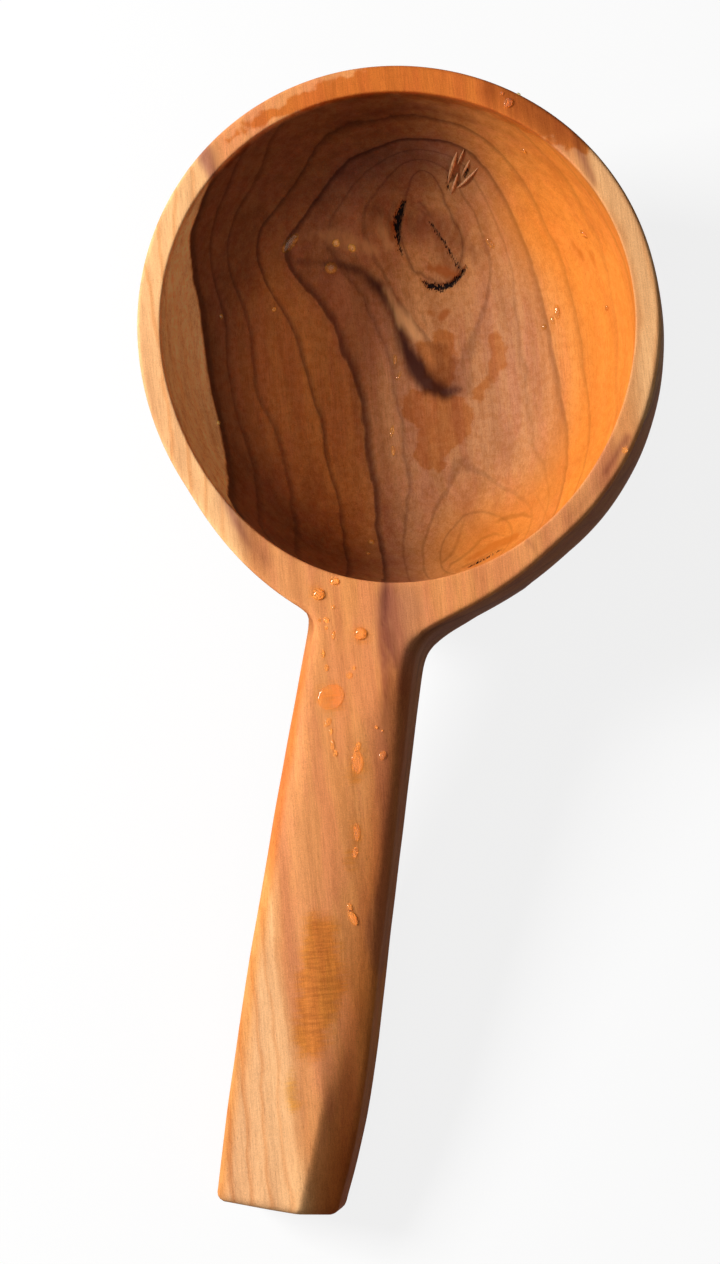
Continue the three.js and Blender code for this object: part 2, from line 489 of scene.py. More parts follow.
@dataclass
class SkinMesh:
    """A mesh that grows ring by ring."""

    points: list[Array] = field(default_factory=list)
    faces: list[tuple[int, ...]] = field(default_factory=list)
    count: int = 0

    def add(self, points: Array) -> NDArray[np.int64]:
        """Add points.

        Args:
            points: The points, in rows or not.

        Returns:
            Their numbers, in the same arrangement.
        """
        flat = points.reshape(-1, 3)
        self.points.append(flat)
        numbers = np.arange(self.count, self.count + len(flat)).reshape(points.shape[:-1])
        self.count += len(flat)
        return numbers

    def quads(self, a: Array, b: Array, closed: bool = False) -> None:
        """Lay a strip of quads between two rows.

        Args:
            a: The first row's numbers.
            b: The second row's.
            closed: Whether the rows are rings.
        """
        if closed:
            a, b = np.append(a, a[0]), np.append(b, b[0])
        strip = np.stack([a[:-1], a[1:], b[1:], b[:-1]], -1)
        self.faces.extend(map(tuple, strip.tolist()))

    def halve(self, outer: Array, inner: Array) -> None:
        """Join a ring to one of half as many points.

        Args:
            outer: The outer ring's numbers.
            inner: The inner ring's.
        """
        outer = np.append(outer, outer[0]).tolist()
        inner = np.append(inner, inner[0]).tolist()
        for i in range(len(inner) - 1):
            a, b, c = outer[2 * i:2 * i + 3]
            p, q = inner[i:i + 2]
            self.faces += [(a, b, p), (b, q, p), (b, c, q)]

    def fan(self, ring: Array, middle: int) -> None:
        """Close a ring with triangles to its middle point."""
        ring = np.append(ring, ring[0]).tolist()
        self.faces += [(ring[i], ring[i + 1], middle) for i in range(len(ring) - 1)]


@dataclass
class ScoopBody:
    """The whole carved body as one closed skin."""

    shape: ScoopShape = field(default_factory=ScoopShape)
    right_corner: float = -76.2
    left_corner: float = -100.4
    round_columns: int = 304
    neck_columns: int = 32
    arris_rows: int = 4
    hull_rows: int = 92
    neck_rows: int = 26
    lip_rows: int = 3
    cavity_rows: int = 84
    deck_rows: int = 8
    deck_gather: float = 0.3
    handle_step: float = 1.5
    blend_stations: int = 9
    blend_length: float = 11.0
    end_stations: int = 4
    top_gather: tuple[float, float, float] = (0.8, 0.7, 0.8)
    side_gather: float = 0.5
    bottom_gather: float = 0.3
    profile_samples: int = 2000
    finest: float = 0.55
    most_halved: int = 8
    rim_reach: float = 1.4
    hull_reach: float = 1.6
    handle_reach: float = 1.5
    sink: Pair = (0.4, 0.6)
    probe_depth: float = 10.0
    probe_past: float = 0.5
    lowest_from: float = -20.0
    lowest_ray: float = -60.0
    hair: float = 0.01

    @property
    def side(self) -> int:
        """Give how many cells the neck's side has."""
        return self.arris_rows + self.neck_rows

    def columns(self) -> Array:
        """Space the columns out.

        Returns:
            The angle of each: round the bowl from the neck's right, then the neck.
        """
        right, left = math.radians(self.right_corner), math.radians(self.left_corner + 360.0)
        bowl = np.linspace(right, left, self.round_columns + 1)[:-1]
        neck = np.linspace(left, right + 2.0 * math.pi, self.neck_columns + 1)[:-1]
        return np.concatenate([bowl, neck])

    def dome(self, radius: float, depth: float, squareness: float, rows: int, top: float) -> Array:
        """Draw half of a dome in profile.

        Args:
            radius: How wide it is.
            depth: How deep it is.
            squareness: How square its shoulders are.
            rows: How many steps to take down it.
            top: How far below its edge to start.

        Returns:
            The profile's points, down to the lowest.
        """
        down = np.linspace(0.0, QUARTER, self.profile_samples)
        norm = (np.cos(down) / radius) ** squareness + (np.sin(down) / depth) ** squareness
        length = norm ** (-1.0 / squareness)
        profile = np.stack([length * np.cos(down), -length * np.sin(down)], -1)
        return along(profile[profile[:, 1] <= -top], rows)

    def hull(self, phi: Array) -> Array:
        """Cast the outside's rows.

        Args:
            phi: The angle of each column.

        Returns:
            Rows of points, from the rim's level down to the bowl's lowest ring.
        """
        shape = self.shape
        flat = np.stack([np.cos(phi), np.sin(phi), np.zeros_like(phi)], -1)
        middle = np.array([shape.rim.x, shape.rim.y, 0.0])
        radius = shape.rim.radius

        def inset(p: Array) -> Array:
            """Give the distance from the skin, drawn in by the rim's rounding."""
            return shape.skin(p) + shape.rim_round

        rows = [cast(inset, np.broadcast_to(middle, flat.shape), flat * radius, self.rim_reach)]
        for angle in np.linspace(0.0, QUARTER, self.arris_rows + 1)[1:-1]:
            start = middle + (0.0, 0.0, -shape.rim_round * (1.0 - math.cos(angle)))
            start = np.broadcast_to(start, flat.shape)
            rows.append(cast(shape.outside, start, flat * radius, self.rim_reach))
        profile = self.dome(radius, shape.depth, shape.squareness, self.hull_rows, shape.rim_round)
        for rho, z in profile[:-1]:
            sink = z * (self.sink[0] + self.sink[1] * max(1.0 + z / shape.depth, 0.0))
            start = np.broadcast_to(middle + (0.0, 0.0, sink), flat.shape)
            ray = flat * rho + (0.0, 0.0, z - sink)
            rows.append(cast(shape.outside, start, ray, self.hull_reach))
        return np.stack(rows)

    def cavity(self, phi: Array) -> Array:
        """Shape the inside's rows.

        Args:
            phi: The angle of each column.

        Returns:
            Rows of points, from the deck down to the lowest ring.
        """
        shape = self.shape
        edge = shape.mouth
        turn = np.linspace(0.0, QUARTER, self.lip_rows + 1)
        lip = np.stack([
            edge.radius + shape.mouth_round * (1.0 - np.sin(turn)),
            -shape.mouth_round * (1.0 - np.cos(turn)),
        ], -1)
        bowl = self.dome(
            edge.radius, shape.cavity_depth, shape.cavity_squareness,
            self.cavity_rows, shape.mouth_round,
        )
        profile = np.concatenate([lip[:-1], bowl])[:-1]
        ease = 1.0 + edge.ease(phi) / edge.radius
        flat = np.stack([np.cos(phi) * ease, np.sin(phi) * ease], -1)
        rows = np.zeros((len(profile), len(phi), 3))
        rows[..., :2] = profile[:, 0, None, None] * flat + (edge.x, edge.y)
        rows[..., 2] = profile[:, 1, None]
        return rows

    def lay_dome(self, mesh: SkinMesh, rows: Array, first: Array, lowest: Array) -> None:
        """Lay a dome's rings, halved on the way in as they crowd, and close its pole.

        Args:
            mesh: The mesh that it joins.
            rows: The rings' points.
            first: The numbers of the ring that it hangs from.
            lowest: The point at its pole.
        """
        ring = first
        step = 1
        for row in rows:
            spacing = np.linalg.norm(row[0] - row[step])
            wanted = step * 2 if spacing < self.finest and step < self.most_halved else step
            numbers = mesh.add(row[::wanted])
            if wanted == step:
                mesh.quads(ring, numbers, closed=True)
            else:
                mesh.halve(ring, numbers)
            ring, step = numbers, wanted
        mesh.fan(ring, int(mesh.add(lowest[None])[0]))

    def on_top(self, p: Array) -> Array:
        """Lift points to the blank's top surface.

        Args:
            p: The points.

        Returns:
            Where they come to lie.
        """
        start = p * (1.0, 1.0, 0.0) + (0.0, 0.0, -self.probe_depth)
        up = np.broadcast_to((0.0, 0.0, self.probe_depth + self.probe_past), p.shape)
        return cast(self.shape.outside, start, up, 1.0)

    def handle_guess(self, y: float) -> Array:
        """Lay points round the handle's section.

        Args:
            y: Where the section is.

        Returns:
            The points, in the order of the neck's ring.
        """
        corners = self.shape.section(y)
        top = self.neck_columns // 4
        cells = (top, 2 * top, top, self.side, self.neck_columns, self.side)
        gathers = (*self.top_gather, self.side_gather, self.bottom_gather, self.side_gather)
        points = []
        for i, (count, gather) in enumerate(zip(cells, gathers)):
            share = eased(count, gather)[:-1, None]
            points.append(corners[i] * (1.0 - share) + corners[(i + 1) % len(corners)] * share)
        flat = np.concatenate(points)
        return np.stack([flat[:, 0], np.full(len(flat), y), flat[:, 1]], -1)

    def project(self, guess: Array, inset: float = 0.0) -> Array:
        """Move points round the handle onto its skin, straight out from its core.

        Args:
            guess: The points.
            inset: How far inside the skin to stop.

        Returns:
            Where they come to lie.
        """
        core = guess.copy()
        core[:, 0] = self.shape.handle_x
        core[:, 2] = -self.shape.end_thick / 2.0
        return cast(
            lambda p: self.shape.outside(p) + inset, core, guess - core, self.handle_reach
        )

    def lay_handle(self, mesh: SkinMesh, border: Array, places: Array) -> None:
        """Lay the handle from the ring at its neck out to its end.

        Args:
            mesh: The mesh that it joins.
            border: The numbers of the ring at its neck.
            places: That ring's points.
        """
        shape = self.shape
        first_y = shape.neck_y - self.blend_length
        last_y = shape.end_y + shape.end_round
        target = self.handle_guess(first_y)
        shares = np.arange(1, self.blend_stations + 1) / self.blend_stations
        guesses = [places * (1.0 - share) + target * share for share in shares]
        steps = round((first_y - last_y) / self.handle_step)
        for y in np.linspace(first_y, last_y, steps + 1)[1:]:
            guesses.append(self.handle_guess(float(y)))
        for i in range(1, self.end_stations):
            guess = self.handle_guess(last_y)
            guess[:, 1] = last_y - shape.end_round * math.sin(QUARTER * i / self.end_stations)
            guesses.append(guess)
        ring = border
        for guess in guesses:
            numbers = mesh.add(self.project(guess))
            mesh.quads(ring, numbers, closed=True)
            ring = numbers
        self.lay_end(mesh, ring, last_y)

    def lay_end(self, mesh: SkinMesh, ring: Array, last_y: float) -> None:
        """Close the handle's end with a grid of quads.

        Args:
            mesh: The mesh that it joins.
            ring: The numbers of the last ring.
            last_y: Where the end's rounding starts.
        """
        shape = self.shape
        edge = self.project(self.handle_guess(last_y), shape.end_round - self.hair)
        edge[:, 1] = shape.end_y
        numbers = mesh.add(edge)
        mesh.quads(ring, numbers, closed=True)
        wide, tall = self.neck_columns, self.side
        top = np.arange(0, wide + 1)
        right = np.arange(wide, wide + tall + 1)
        bottom = np.arange(2 * wide + tall, wide + tall - 1, -1)
        left = np.append(0, np.arange(2 * (wide + tall) - 1, 2 * wide + tall - 1, -1))
        u = np.linspace(0.0, 1.0, wide + 1)[None, :, None]
        v = np.linspace(0.0, 1.0, tall + 1)[:, None, None]
        a, b = edge[top][None], edge[bottom][None]
        c, d = edge[left][:, None], edge[right][:, None]
        corners = (
            (1 - u) * (1 - v) * a[:, :1] + u * (1 - v) * a[:, -1:]
            + (1 - u) * v * b[:, :1] + u * v * b[:, -1:]
        )
        grid = (1 - v) * a + v * b + (1 - u) * c + u * d - corners
        ids = np.full((tall + 1, wide + 1), -1)
        ids[0], ids[-1] = numbers[top], numbers[bottom]
        ids[:, 0], ids[:, -1] = numbers[left], numbers[right]
        ids[1:-1, 1:-1] = mesh.add(grid[1:-1, 1:-1])
        for row in range(tall):
            mesh.quads(ids[row], ids[row + 1])

    def lay_hull(self, mesh: SkinMesh, hull: Array) -> Array:
        """Lay the outside, open where the handle joins it.

        Args:
            mesh: The mesh to lay it in.
            hull: The outside's rows.

        Returns:
            The numbers of the points in the rows down to the neck's lowest.
        """
        shape, side, first = self.shape, self.side, self.round_columns
        ids = np.full(hull.shape[:2], -1)
        round_the_neck = np.ones(hull.shape[1], bool)
        round_the_neck[first + 1:] = False
        ids[0] = mesh.add(hull[0])
        for row in range(1, side):
            ids[row, round_the_neck] = mesh.add(hull[row, round_the_neck])
        ids[side] = mesh.add(hull[side])
        for row in range(side):
            mesh.quads(ids[row, :first + 1], ids[row + 1, :first + 1])
        start = np.array([[shape.rim.x, shape.rim.y, self.lowest_from]])
        lowest = cast(shape.outside, start, np.array([[0.0, 0.0, self.lowest_ray]]), 1.0)[0]
        self.lay_dome(mesh, hull[side + 1:], ids[side], lowest)
        return ids

    def lay_inside(self, mesh: SkinMesh, cavity: Array, hull: Array, rim: Array) -> None:
        """Lay the deck and the hollow.

        Args:
            mesh: The mesh that they join.
            cavity: The inside's rows.
            hull: The outside's top row.
            rim: That row's numbers.
        """
        shape, first = self.shape, self.round_columns
        lip = mesh.add(cavity[0])
        ring = lip
        for share in eased(self.deck_rows, self.deck_gather)[1:-1]:
            row = cavity[0] * (1.0 - share) + hull * share
            row[first + 1:] = self.on_top(row[first + 1:])
            numbers = mesh.add(row)
            mesh.quads(ring, numbers, closed=True)
            ring = numbers
        mesh.quads(ring, rim, closed=True)
        bottom = np.array([shape.mouth.x, shape.mouth.y, -shape.cavity_depth])
        self.lay_dome(mesh, cavity[1:], lip, bottom)

    def build(self) -> SkinMesh:
        """Build the whole skin.

        Returns:
            The skin, level and in millimetres.
        """
        mesh = SkinMesh()
        phi = self.columns()
        hull = self.hull(phi)
        first, side = self.round_columns, self.side
        across = np.linspace(0.0, 1.0, self.neck_columns + 1)[1:-1, None]
        hull[0, first + 1:] = hull[0, first] * (1.0 - across) + hull[0, 0] * across
        hull[0, first:] = self.on_top(hull[0, first:])
        hull[0, 0] = self.on_top(hull[0, :1])[0]
        ids = self.lay_hull(mesh, hull)
        self.lay_inside(mesh, self.cavity(phi), hull[0], ids[0])
        neck_top, neck_bottom = (np.append(ids[row, first:], ids[row, 0]) for row in (0, side))
        border = np.concatenate([
            neck_top[:-1], ids[:side, 0], neck_bottom[::-1][:-1], ids[side:0:-1, first],
        ])
        self.lay_handle(mesh, border, np.concatenate(mesh.points)[border])
        return mesh


@dataclass(frozen=True)
class RestPlace:
    """Where the level scoop stands at rest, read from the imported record's rim."""

    tilt: float
    origin: Place

    @classmethod
    def from_record(cls, record: dict, rim_middle_x: float) -> "RestPlace":
        """Read the roll and the mouth's middle.

        Args:
            record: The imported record.
            rim_middle_x: How far right of the mouth's middle the rim's is, level.

        Returns:
            The place.
        """
        rim = next(m for m in record["mounts"] if m["name"] == "rim")
        axis, place = rim["axis"], rim["pos_m"]
        return cls(math.atan2(-axis[1], axis[2]), (-rim_middle_x * MM, place[1], place[2]))

    def matrix(self) -> Matrix:
        """Give the move from level millimetres to the frame's metres."""
        turn = Matrix.Rotation(self.tilt, 4, "X")
        return Matrix.Translation(self.origin) @ turn @ Matrix.Scale(MM, 4)

    def points(self, p: Array) -> Array:
        """Bring level points to rest, in metres."""
        m = np.array(self.matrix())
        return p @ m[:3, :3].T + m[:3, 3]

    def direction(self, d: Array) -> Array:
        """Turn a level direction to rest."""
        return d @ np.array(Matrix.Rotation(self.tilt, 3, "X")).T


@dataclass(frozen=True)
class Spot:
    """A ball of the wood whose skin is split finer for its carving."""

    middle: Place
    radius: float
    cuts: int


def level_mesh(name: str, skin: SkinMesh, refine: tuple[Spot, ...]) -> bpy.types.Mesh:
    """Make a closed mesh of a level skin, finer round some spots, with its faces outwards.

    Args:
        name: The mesh's name.
        skin: The skin's points and faces.
        refine: Where its faces are split, and into how many.

    Returns:
        The mesh, still level and in millimetres.
    """
    data = bpy.data.meshes.new(name)
    data.from_pydata(np.concatenate(skin.points).tolist(), [], skin.faces)
    work = bmesh.new()
    work.from_mesh(data)
    for spot in refine:
        middle = Vector(spot.middle)
        work.edges.index_update()
        near = {
            edge.index: edge for face in work.faces
            if (face.calc_center_median() - middle).length < spot.radius for edge in face.edges
        }
        edges = [near[number] for number in sorted(near)]
        bmesh.ops.subdivide_edges(work, edges=edges, cuts=spot.cuts, use_grid_fill=True)
    bmesh.ops.recalc_face_normals(work, faces=work.faces)
    work.to_mesh(data)
    work.free()
    data.shade_smooth()
    return data


def mesh_points(data: bpy.types.Mesh) -> Array:
    """Read a mesh's points.

    Args:
        data: The mesh.

    Returns:
        Its points, in rows.
    """
    flat = np.zeros(len(data.vertices) * 3)
    data.vertices.foreach_get("co", flat)
    return flat.reshape(-1, 3)


def mesh_normals(data: bpy.types.Mesh) -> Array:
    """Read which way a mesh faces at each of its points.

    Args:
        data: The mesh.

    Returns:
        Its normals, in rows.
    """
    flat = np.zeros(len(data.vertices) * 3)
    data.vertex_normals.foreach_get("vector", flat)
    return flat.reshape(-1, 3)


def set_points(data: bpy.types.Mesh, points: Array) -> None:
    """Move a mesh's points."""
    data.vertices.foreach_set("co", points.ravel())
    data.update()


def place_object(name: str, data: bpy.types.ID | None) -> bpy.types.Object:
    """Put a mesh, curve, lamp or camera in the scene as an object at the origin.

    Args:
        name: The object's name.
        data: What it shows.

    Returns:
        The object.
    """
    piece = bpy.data.objects.new(name, data)
    bpy.context.scene.collection.objects.link(piece)
    return piece


def write_field(piece: bpy.types.Object, name: str, values: Array) -> None:
    """Keep a number for each of the piece's points, for its material to read."""
    attribute = piece.data.attributes.new(name, "FLOAT", "POINT")
    attribute.data.foreach_set("value", np.asarray(values, np.float32))


@dataclass(frozen=True)
class GrowthLine:
    """A growth ring that shows as a line on the wood: its level, and points that it runs through."""

    level: float
    points: tuple[Pixel | Place, ...]


GROWTH_LINES = (
    GrowthLine(5.0, (
        (-5.0, 46.0, -49.5),
    )),
    GrowthLine(9.0, (
        (407, 190), (422, 186), (436, 188),
    )),
    GrowthLine(15.0, (
        (390, 167), (409, 161), (428, 160), (445, 163),
    )),
    GrowthLine(21.0, (
        (528, 413), (527, 441), (536, 460), (546, 488), (547, 514),
    )),
    GrowthLine(28.0, (
        (344, 167), (369, 152), (400, 144), (428, 139), (453, 144), (321, 194), (296, 219), (281, 259),
        (296, 272), (310, 288), (333, 328), (344, 347), (352, 376), (359, 409), (366, 441), (370, 469),
        (376, 506), (379, 543), (385, 576), (6.6, -69.8, -2.0), (381, 590), (10.6, -88.0, 0.0),
        (14.4, -110.0, 0.0), (17.4, -132.0, 0.0), (19.9, -155.5, 0.0), (19.3, -170.0, 0.0), (562, 389),
        (567, 413), (568, 441), (570, 458), (566, 486), (556, 512), (33.0, 24.0, -51.5),
        (24.0, 44.0, -46.0), (13.0, 58.0, -36.0),
    )),
    GrowthLine(38.0, (
        (306, 163), (293, 186), (281, 209), (257, 233), (256, 249), (264, 276), (272, 292), (289, 332),
        (303, 358), (311, 391), (322, 430), (327, 459), (337, 496), (342, 530), (346, 567), (321, 142),
        (340, 131), (369, 119), (400, 115), (438, 119), (466, 129), (485, 140), (497, 150), (523, 182),
        (543, 224), (558, 243), (565, 274), (575, 308), (581, 331), (585, 375), (589, 415), (587, 449),
        (583, 476), (570, 498),
    )),
    GrowthLine(52.0, (
        (254, 391), (268, 419), (278, 441), (287, 478), (292, 506), (296, 541),
    )),
    GrowthLine(61.0, (
        (229, 376), (235, 422), (251, 448), (250, 474), (257, 507), (13.0, -214.0, -1.0),
        (17.5, -227.0, -4.0), (19.5, -239.0, -5.5),
    )),
    GrowthLine(70.0, (
        (205, 130), (215, 172), (193, 232), (197, 295), (206, 360), (217, 404), (224, 441), (230, 474),
        (-37.2, -54.9, -2.7), (-35.6, -54.9, 0.0), (245, 555), (-20.0, -128.3, -1.5),
        (-15.3, -144.1, -1.5), (-8.3, -165.0, -1.5), (-1.5, -191.1, -1.5), (3.9, -211.7, -1.5),
        (8.6, -226.9, -1.0), (12.6, -239.7, -0.5), (583, 140), (590, 180), (58.0, 36.0, -1.0),
        (66.0, 18.0, -1.0), (68.5, 4.0, -1.0), (69.0, -10.0, -1.0), (640, 430),
    )),
)


class Trace(Enum):
    """A mark on the wood, by the name of its attribute."""

    STAIN = "stain"
    SHADE = "shade"
    # Painted bounce light on the hollow's shaded left wall.
    PALE = "pale"
    PURPLE = "purple"
    OILED = "oiled"
    BARK = "bark"
    VEIN = "vein"
    FLUSH = "flush"
    WET = "wet"


class Tone(Enum):
    """A tone of the wood, by the name of its attribute; several are painted shade and one a painted
    glow.
    """

    HOLLOW = "hollow"
    DRAWN = "drawn"
    # Painted shade on the hollow's left and top walls, and a darker right floor.
    DAMP = "damp"
    # A painted glow where the light falls on the hollow's right walls.
    AMBER = "amber"
    # The outside below the rim, whose tint is painted shade.
    OUTER = "outer"
    WARM = "warm"
    # Painted shade down the left of the handle's far half.
    RIPE = "ripe"
    # Painted shade on the handle's right corner near its end.
    UMBER = "umber"


@dataclass(frozen=True)
class Mark:
    """A streak, stain or patch: points along its middle and its half-width at each."""

    points: tuple[Pixel | Place, ...]
    widths: tuple[float, ...]

    def inside(self, p: Array, sight: Sight) -> Array:
        """Measure how far points lie within the mark.

        Args:
            p: Points of the wood.
            sight: What the mark's pixels show.

        Returns:
            The distance of each from the mark's edge, negative outside it.
        """
        best = np.full(len(p), -math.inf)
        ends = [sight.on_wood(point) for point in self.points]
        for i in range(max(len(ends) - 1, 1)):
            after = min(i + 1, len(ends) - 1)
            run = ends[after] - ends[i]
            length = max(float(run @ run), 1e-9)
            t = np.clip(((p - ends[i]) @ run) / length, 0.0, 1.0)
            away = np.linalg.norm(p - ends[i] - t[:, None] * run, axis=1)
            width = self.widths[i] + (self.widths[after] - self.widths[i]) * t
            best = np.maximum(best, width - away)
        return best


MARKS: dict[Trace, tuple[Mark, ...]] = {
    Trace.STAIN: (
        Mark((
            (298, 261), (342, 265), (363, 272), (379, 288), (392, 307), (400, 330), (406, 350),
            (418, 370), (429, 385), (445, 393), (461, 389),
        ), (0.2, 0.5, 1.1, 1.6, 1.4, 1.2, 1.8, 3.0, 2.8, 1.9, 0.3)),
        Mark(((8.1, -70.0, -1.0), (8.4, -74.0, 0.0), (9.5, -82.0, 0.0)), (0.7, 0.4, -0.6)),
    ),
    Trace.SHADE: (
        Mark((
            (-30.0, 31.0, -51.5), (-14.0, 20.0, -56.0), (-6.0, 6.0, -57.0), (4.0, -3.0, -57.0),
        ), (0.5, 2.0, 3.0, 2.5)),
        Mark(((-20.0, 45.0, -46.0), (-4.0, 44.0, -50.0), (10.0, 38.0, -52.0)), (4.0, 5.0, 2.0)),
        Mark(((-8.0, 49.0, -46.5), (-1.0, 40.0, -52.0), (3.0, 33.0, -54.0)), (1.5, 3.0, 3.5)),
        Mark(((-30.0, 61.0, -16.0), (-8.0, 68.0, -12.0), (10.0, 66.0, -16.0)), (2.0, 2.5, 1.0)),
        Mark(((-66.0, 53.5, 0.0), (-61.5, 45.0, 0.0), (-57.5, 38.0, -1.0)), (0.0, 0.4, -0.5)),
        Mark(((10.5, -72.0, 0.0), (12.5, -84.0, 0.0), (15.0, -96.0, 0.0)), (0.2, 1.2, -1.0)),
        Mark(((68.0, -24.0, 0.0), (63.0, -36.0, 0.0), (56.0, -47.0, 0.0)), (0.5, 1.0, 0.0)),
        Mark(((18.0, 70.5, 0.0), (32.0, 65.5, 0.0), (43.0, 57.5, 0.0)), (2.0, 4.5, 2.5)),
        Mark(((-40.0, -52.0, 0.0), (-33.0, -62.0, 0.0), (-26.0, -68.0, 0.0)), (2.0, 2.6, 1.0)),
    ),
    # Painted bounce light: the pale sapwood strips on the hollow's shaded left wall, lifted as light
    # thrown back from the right wall would lift them.
    Trace.PALE: (
        Mark(((-40.0, 36.5, -43.5), (-30.0, 38.0, -48.0), (-21.0, 36.0, -51.5)), (1.2, 2.6, 1.2)),
        Mark(((-16.0, 24.5, -54.5), (-10.0, 17.0, -56.4), (-5.0, 11.5, -57.0)), (0.6, 1.6, 0.6)),
        Mark(((-20.0, 44.0, -48.0), (-17.0, 38.0, -51.5)), (1.0, 1.4)),
    ),
    Trace.PURPLE: (
        Mark((
            (8.6, -70.0, -1.0), (9.0, -74.0, 0.0), (10.3, -85.9, 0.0), (13.2, -102.0, 0.0),
            (14.9, -118.0, 0.0), (15.9, -129.0, 0.0),
        ), (0.9, 1.0, 0.8, 0.3, 0.0, -1.5)),
        Mark(((10.5, -83.0, 0.0), (14.5, -92.0, 0.0)), (1.0, 0.2)),
        Mark(((-41.0, -51.5, 0.0), (-36.0, -58.5, 0.0), (-31.0, -65.0, 0.0)), (-0.2, 0.4, -0.8)),
        Mark(((31.0, -61.0, 0.0), (33.0, -66.0, 0.0)), (-0.4, -0.8)),
        Mark(((-66.0, 53.5, 0.0), (-61.5, 45.0, 0.0), (-57.8, 38.5, 0.0)), (1.6, 1.8, 0.8)),
        Mark(((42.5, 60.5, 0.0), (46.0, 53.0, 0.0), (50.0, 46.5, 0.0)), (-0.2, 0.2, -0.4)),
        Mark(((68.5, -23.0, 0.0), (64.0, -33.0, 0.0)), (0.2, -0.2)),
        Mark(((44.5, -52.5, 0.0), (47.5, -56.0, 0.0)), (0.0, -0.6)),
    ),
    Trace.OILED: (
        Mark(((320, 930), (6.4, -180.0, -1.0), (6.0, -196.0, -1.0)), (4.6, 6.8, 4.4)),
        Mark(((7.8, -117.0, 0.0), (8.0, -123.0, 0.0)), (1.2, 1.8)),
        Mark(((330, 695), (332, 700)), (2.8, 2.8)),
        Mark(((3.5, -84.8, 0.0),), (1.6,)),
        Mark(((-9.8, -75.5, 0.0),), (1.5,)),
        Mark(((10.4, -137.0, 0.0), (10.8, -147.0, 0.0)), (1.2, 0.8)),
        Mark(((2.0, -205.0, 0.0), (4.0, -213.0, 0.0)), (1.0, 1.6)),
    ),
    Trace.BARK: (
        Mark(((403, 203), (399, 215), (397, 228), (398, 242), (402, 256)), (0.5, 1.1, 0.9, 0.3, 0.0)),
        Mark((
            (421, 280), (430, 286), (440, 288), (450, 285), (460, 276), (466, 266),
        ), (0.1, 0.8, 1.0, 0.8, 0.5, 0.1)),
        Mark((
            (430, 222), (440, 238), (0.5, 40.2, -52.0), (450, 253), (461, 271),
        ), (0.05, 0.25, 0.1, 0.2, 0.05)),
        Mark((
            (24.7, -58.8, -34.8), (480, 561), (30.5, -54.2, -36.9), (502, 549),
        ), (0.15, 0.45, 0.3, 0.0)),
        Mark(((1.0, 57.2, -40.6), (0.6, 54.0, -43.6)), (0.35, 0.1)),
        Mark(((6.6, 59.0, -37.6), (6.0, 57.6, -39.6)), (0.4, 0.2)),
    ),
    Trace.VEIN: (
        Mark((
            (449, 568), (451, 564), (460, 559), (23.5, -52.9, -42.1), (25.6, -49.0, -44.4),
            (29.2, -47.1, -44.2), (505, 536),
        ), (0.2, 0.5, 0.6, 0.6, 0.5, 0.5, 0.1)),
        Mark(((494, 523), (503, 519), (510, 517), (522, 514), (531, 517)), (0.1, 0.7, 0.9, 0.8, 0.2)),
        Mark(((443, 562), (451, 555), (456, 545), (460, 535), (464, 520)), (0.6, 0.5, 0.3, 0.3, 0.1)),
        Mark(((528, 480), (537, 497), (544, 510), (547, 518)), (-0.3, 0.0, 0.1, -0.1)),
        Mark((
            (22.0, -60.0, -35.5), (24.7, -57.9, -36.4), (30.5, -53.2, -38.6), (34.0, -50.0, -39.4),
        ), (0.3, 0.7, 0.5, 0.1)),
        Mark((
            (419, 202), (424, 206), (428, 212), (430, 216), (426, 214), (421, 211),
        ), (0.2, 0.4, 0.4, 0.4, 0.3, 0.1)),
        Mark(((426, 214), (424, 222), (428, 228)), (0.3, 0.3, 0.1)),
        Mark(((-12.0, 26.0, -55.0), (-4.0, 18.0, -56.4), (2.0, 9.0, -57.0)), (0.1, 0.2, 0.1)),
    ),
    Trace.FLUSH: (
        Mark(((-3.5, 33.0, -54.1), (0.8, 32.2, -54.3), (4.2, 31.6, -54.4)), (0.8, 1.5, 0.9)),
        Mark(((-16.2, 44.0, -49.3), (-16.0, 40.0, -50.9)), (0.6, 0.7)),
        Mark(((-2.0, 19.6, -56.3), (-0.8, 19.2, -56.4)), (0.9, 0.7)),
        Mark(((1.6, 18.9, -56.5), (448, 311)), (1.0, 0.6)),
        Mark(((39.6, 41.0, -39.6), (44.1, 36.4, -39.2)), (0.4, 1.2)),
        Mark(((46.6, 36.4, -36.2), (48.4, 33.0, -36.9)), (0.9, 0.3)),
        Mark(((24.0, -55.5, -38.5), (30.0, -51.5, -40.5), (36.0, -48.0, -39.5)), (1.0, 2.2, 1.6)),
        Mark(((-51.0, 50.0, -2.0), (-56.0, 44.0, -3.0)), (1.5, 1.0)),
    ),
    Trace.WET: (
        Mark(((420, 350), (439, 352), (4.1, -1.0, -57.0)), (2.0, 5.5, 3.5)),
        Mark((
            (-1.0, -9.0, -57.0), (8.0, -12.0, -57.0), (4.5, -22.0, -56.0), (3.0, -29.0, -55.0),
        ), (6.0, 8.5, 6.0, 1.5)),
        Mark(((19.0, 13.0, -56.0), (20.4, 6.0, -56.2), (15.0, -5.0, -56.8)), (2.4, 2.6, 1.2)),
        Mark((
            (-55.0, 50.0, 0.0), (-44.0, 59.0, 0.0), (-30.0, 66.0, 0.0), (-12.0, 71.0, 0.0),
            (6.0, 72.0, 0.0), (24.0, 68.0, 0.0), (36.0, 63.0, 0.0), (45.0, 56.5, 0.0),
        ), (0.6, 1.8, 3.2, 5.2, 6.8, 6.8, 6.0, 2.0)),
    ),
}


@dataclass(frozen=True)
class Bead:
    """A drop of standing water: its place, half-width, height, length and turn.

    Its height and length are shares of its half-width. Of a level place only x and y count.
    """

    at: Pixel | Place
    radius: float
    height: float = 0.5
    length: float = 1.0
    turn: float = 0.0


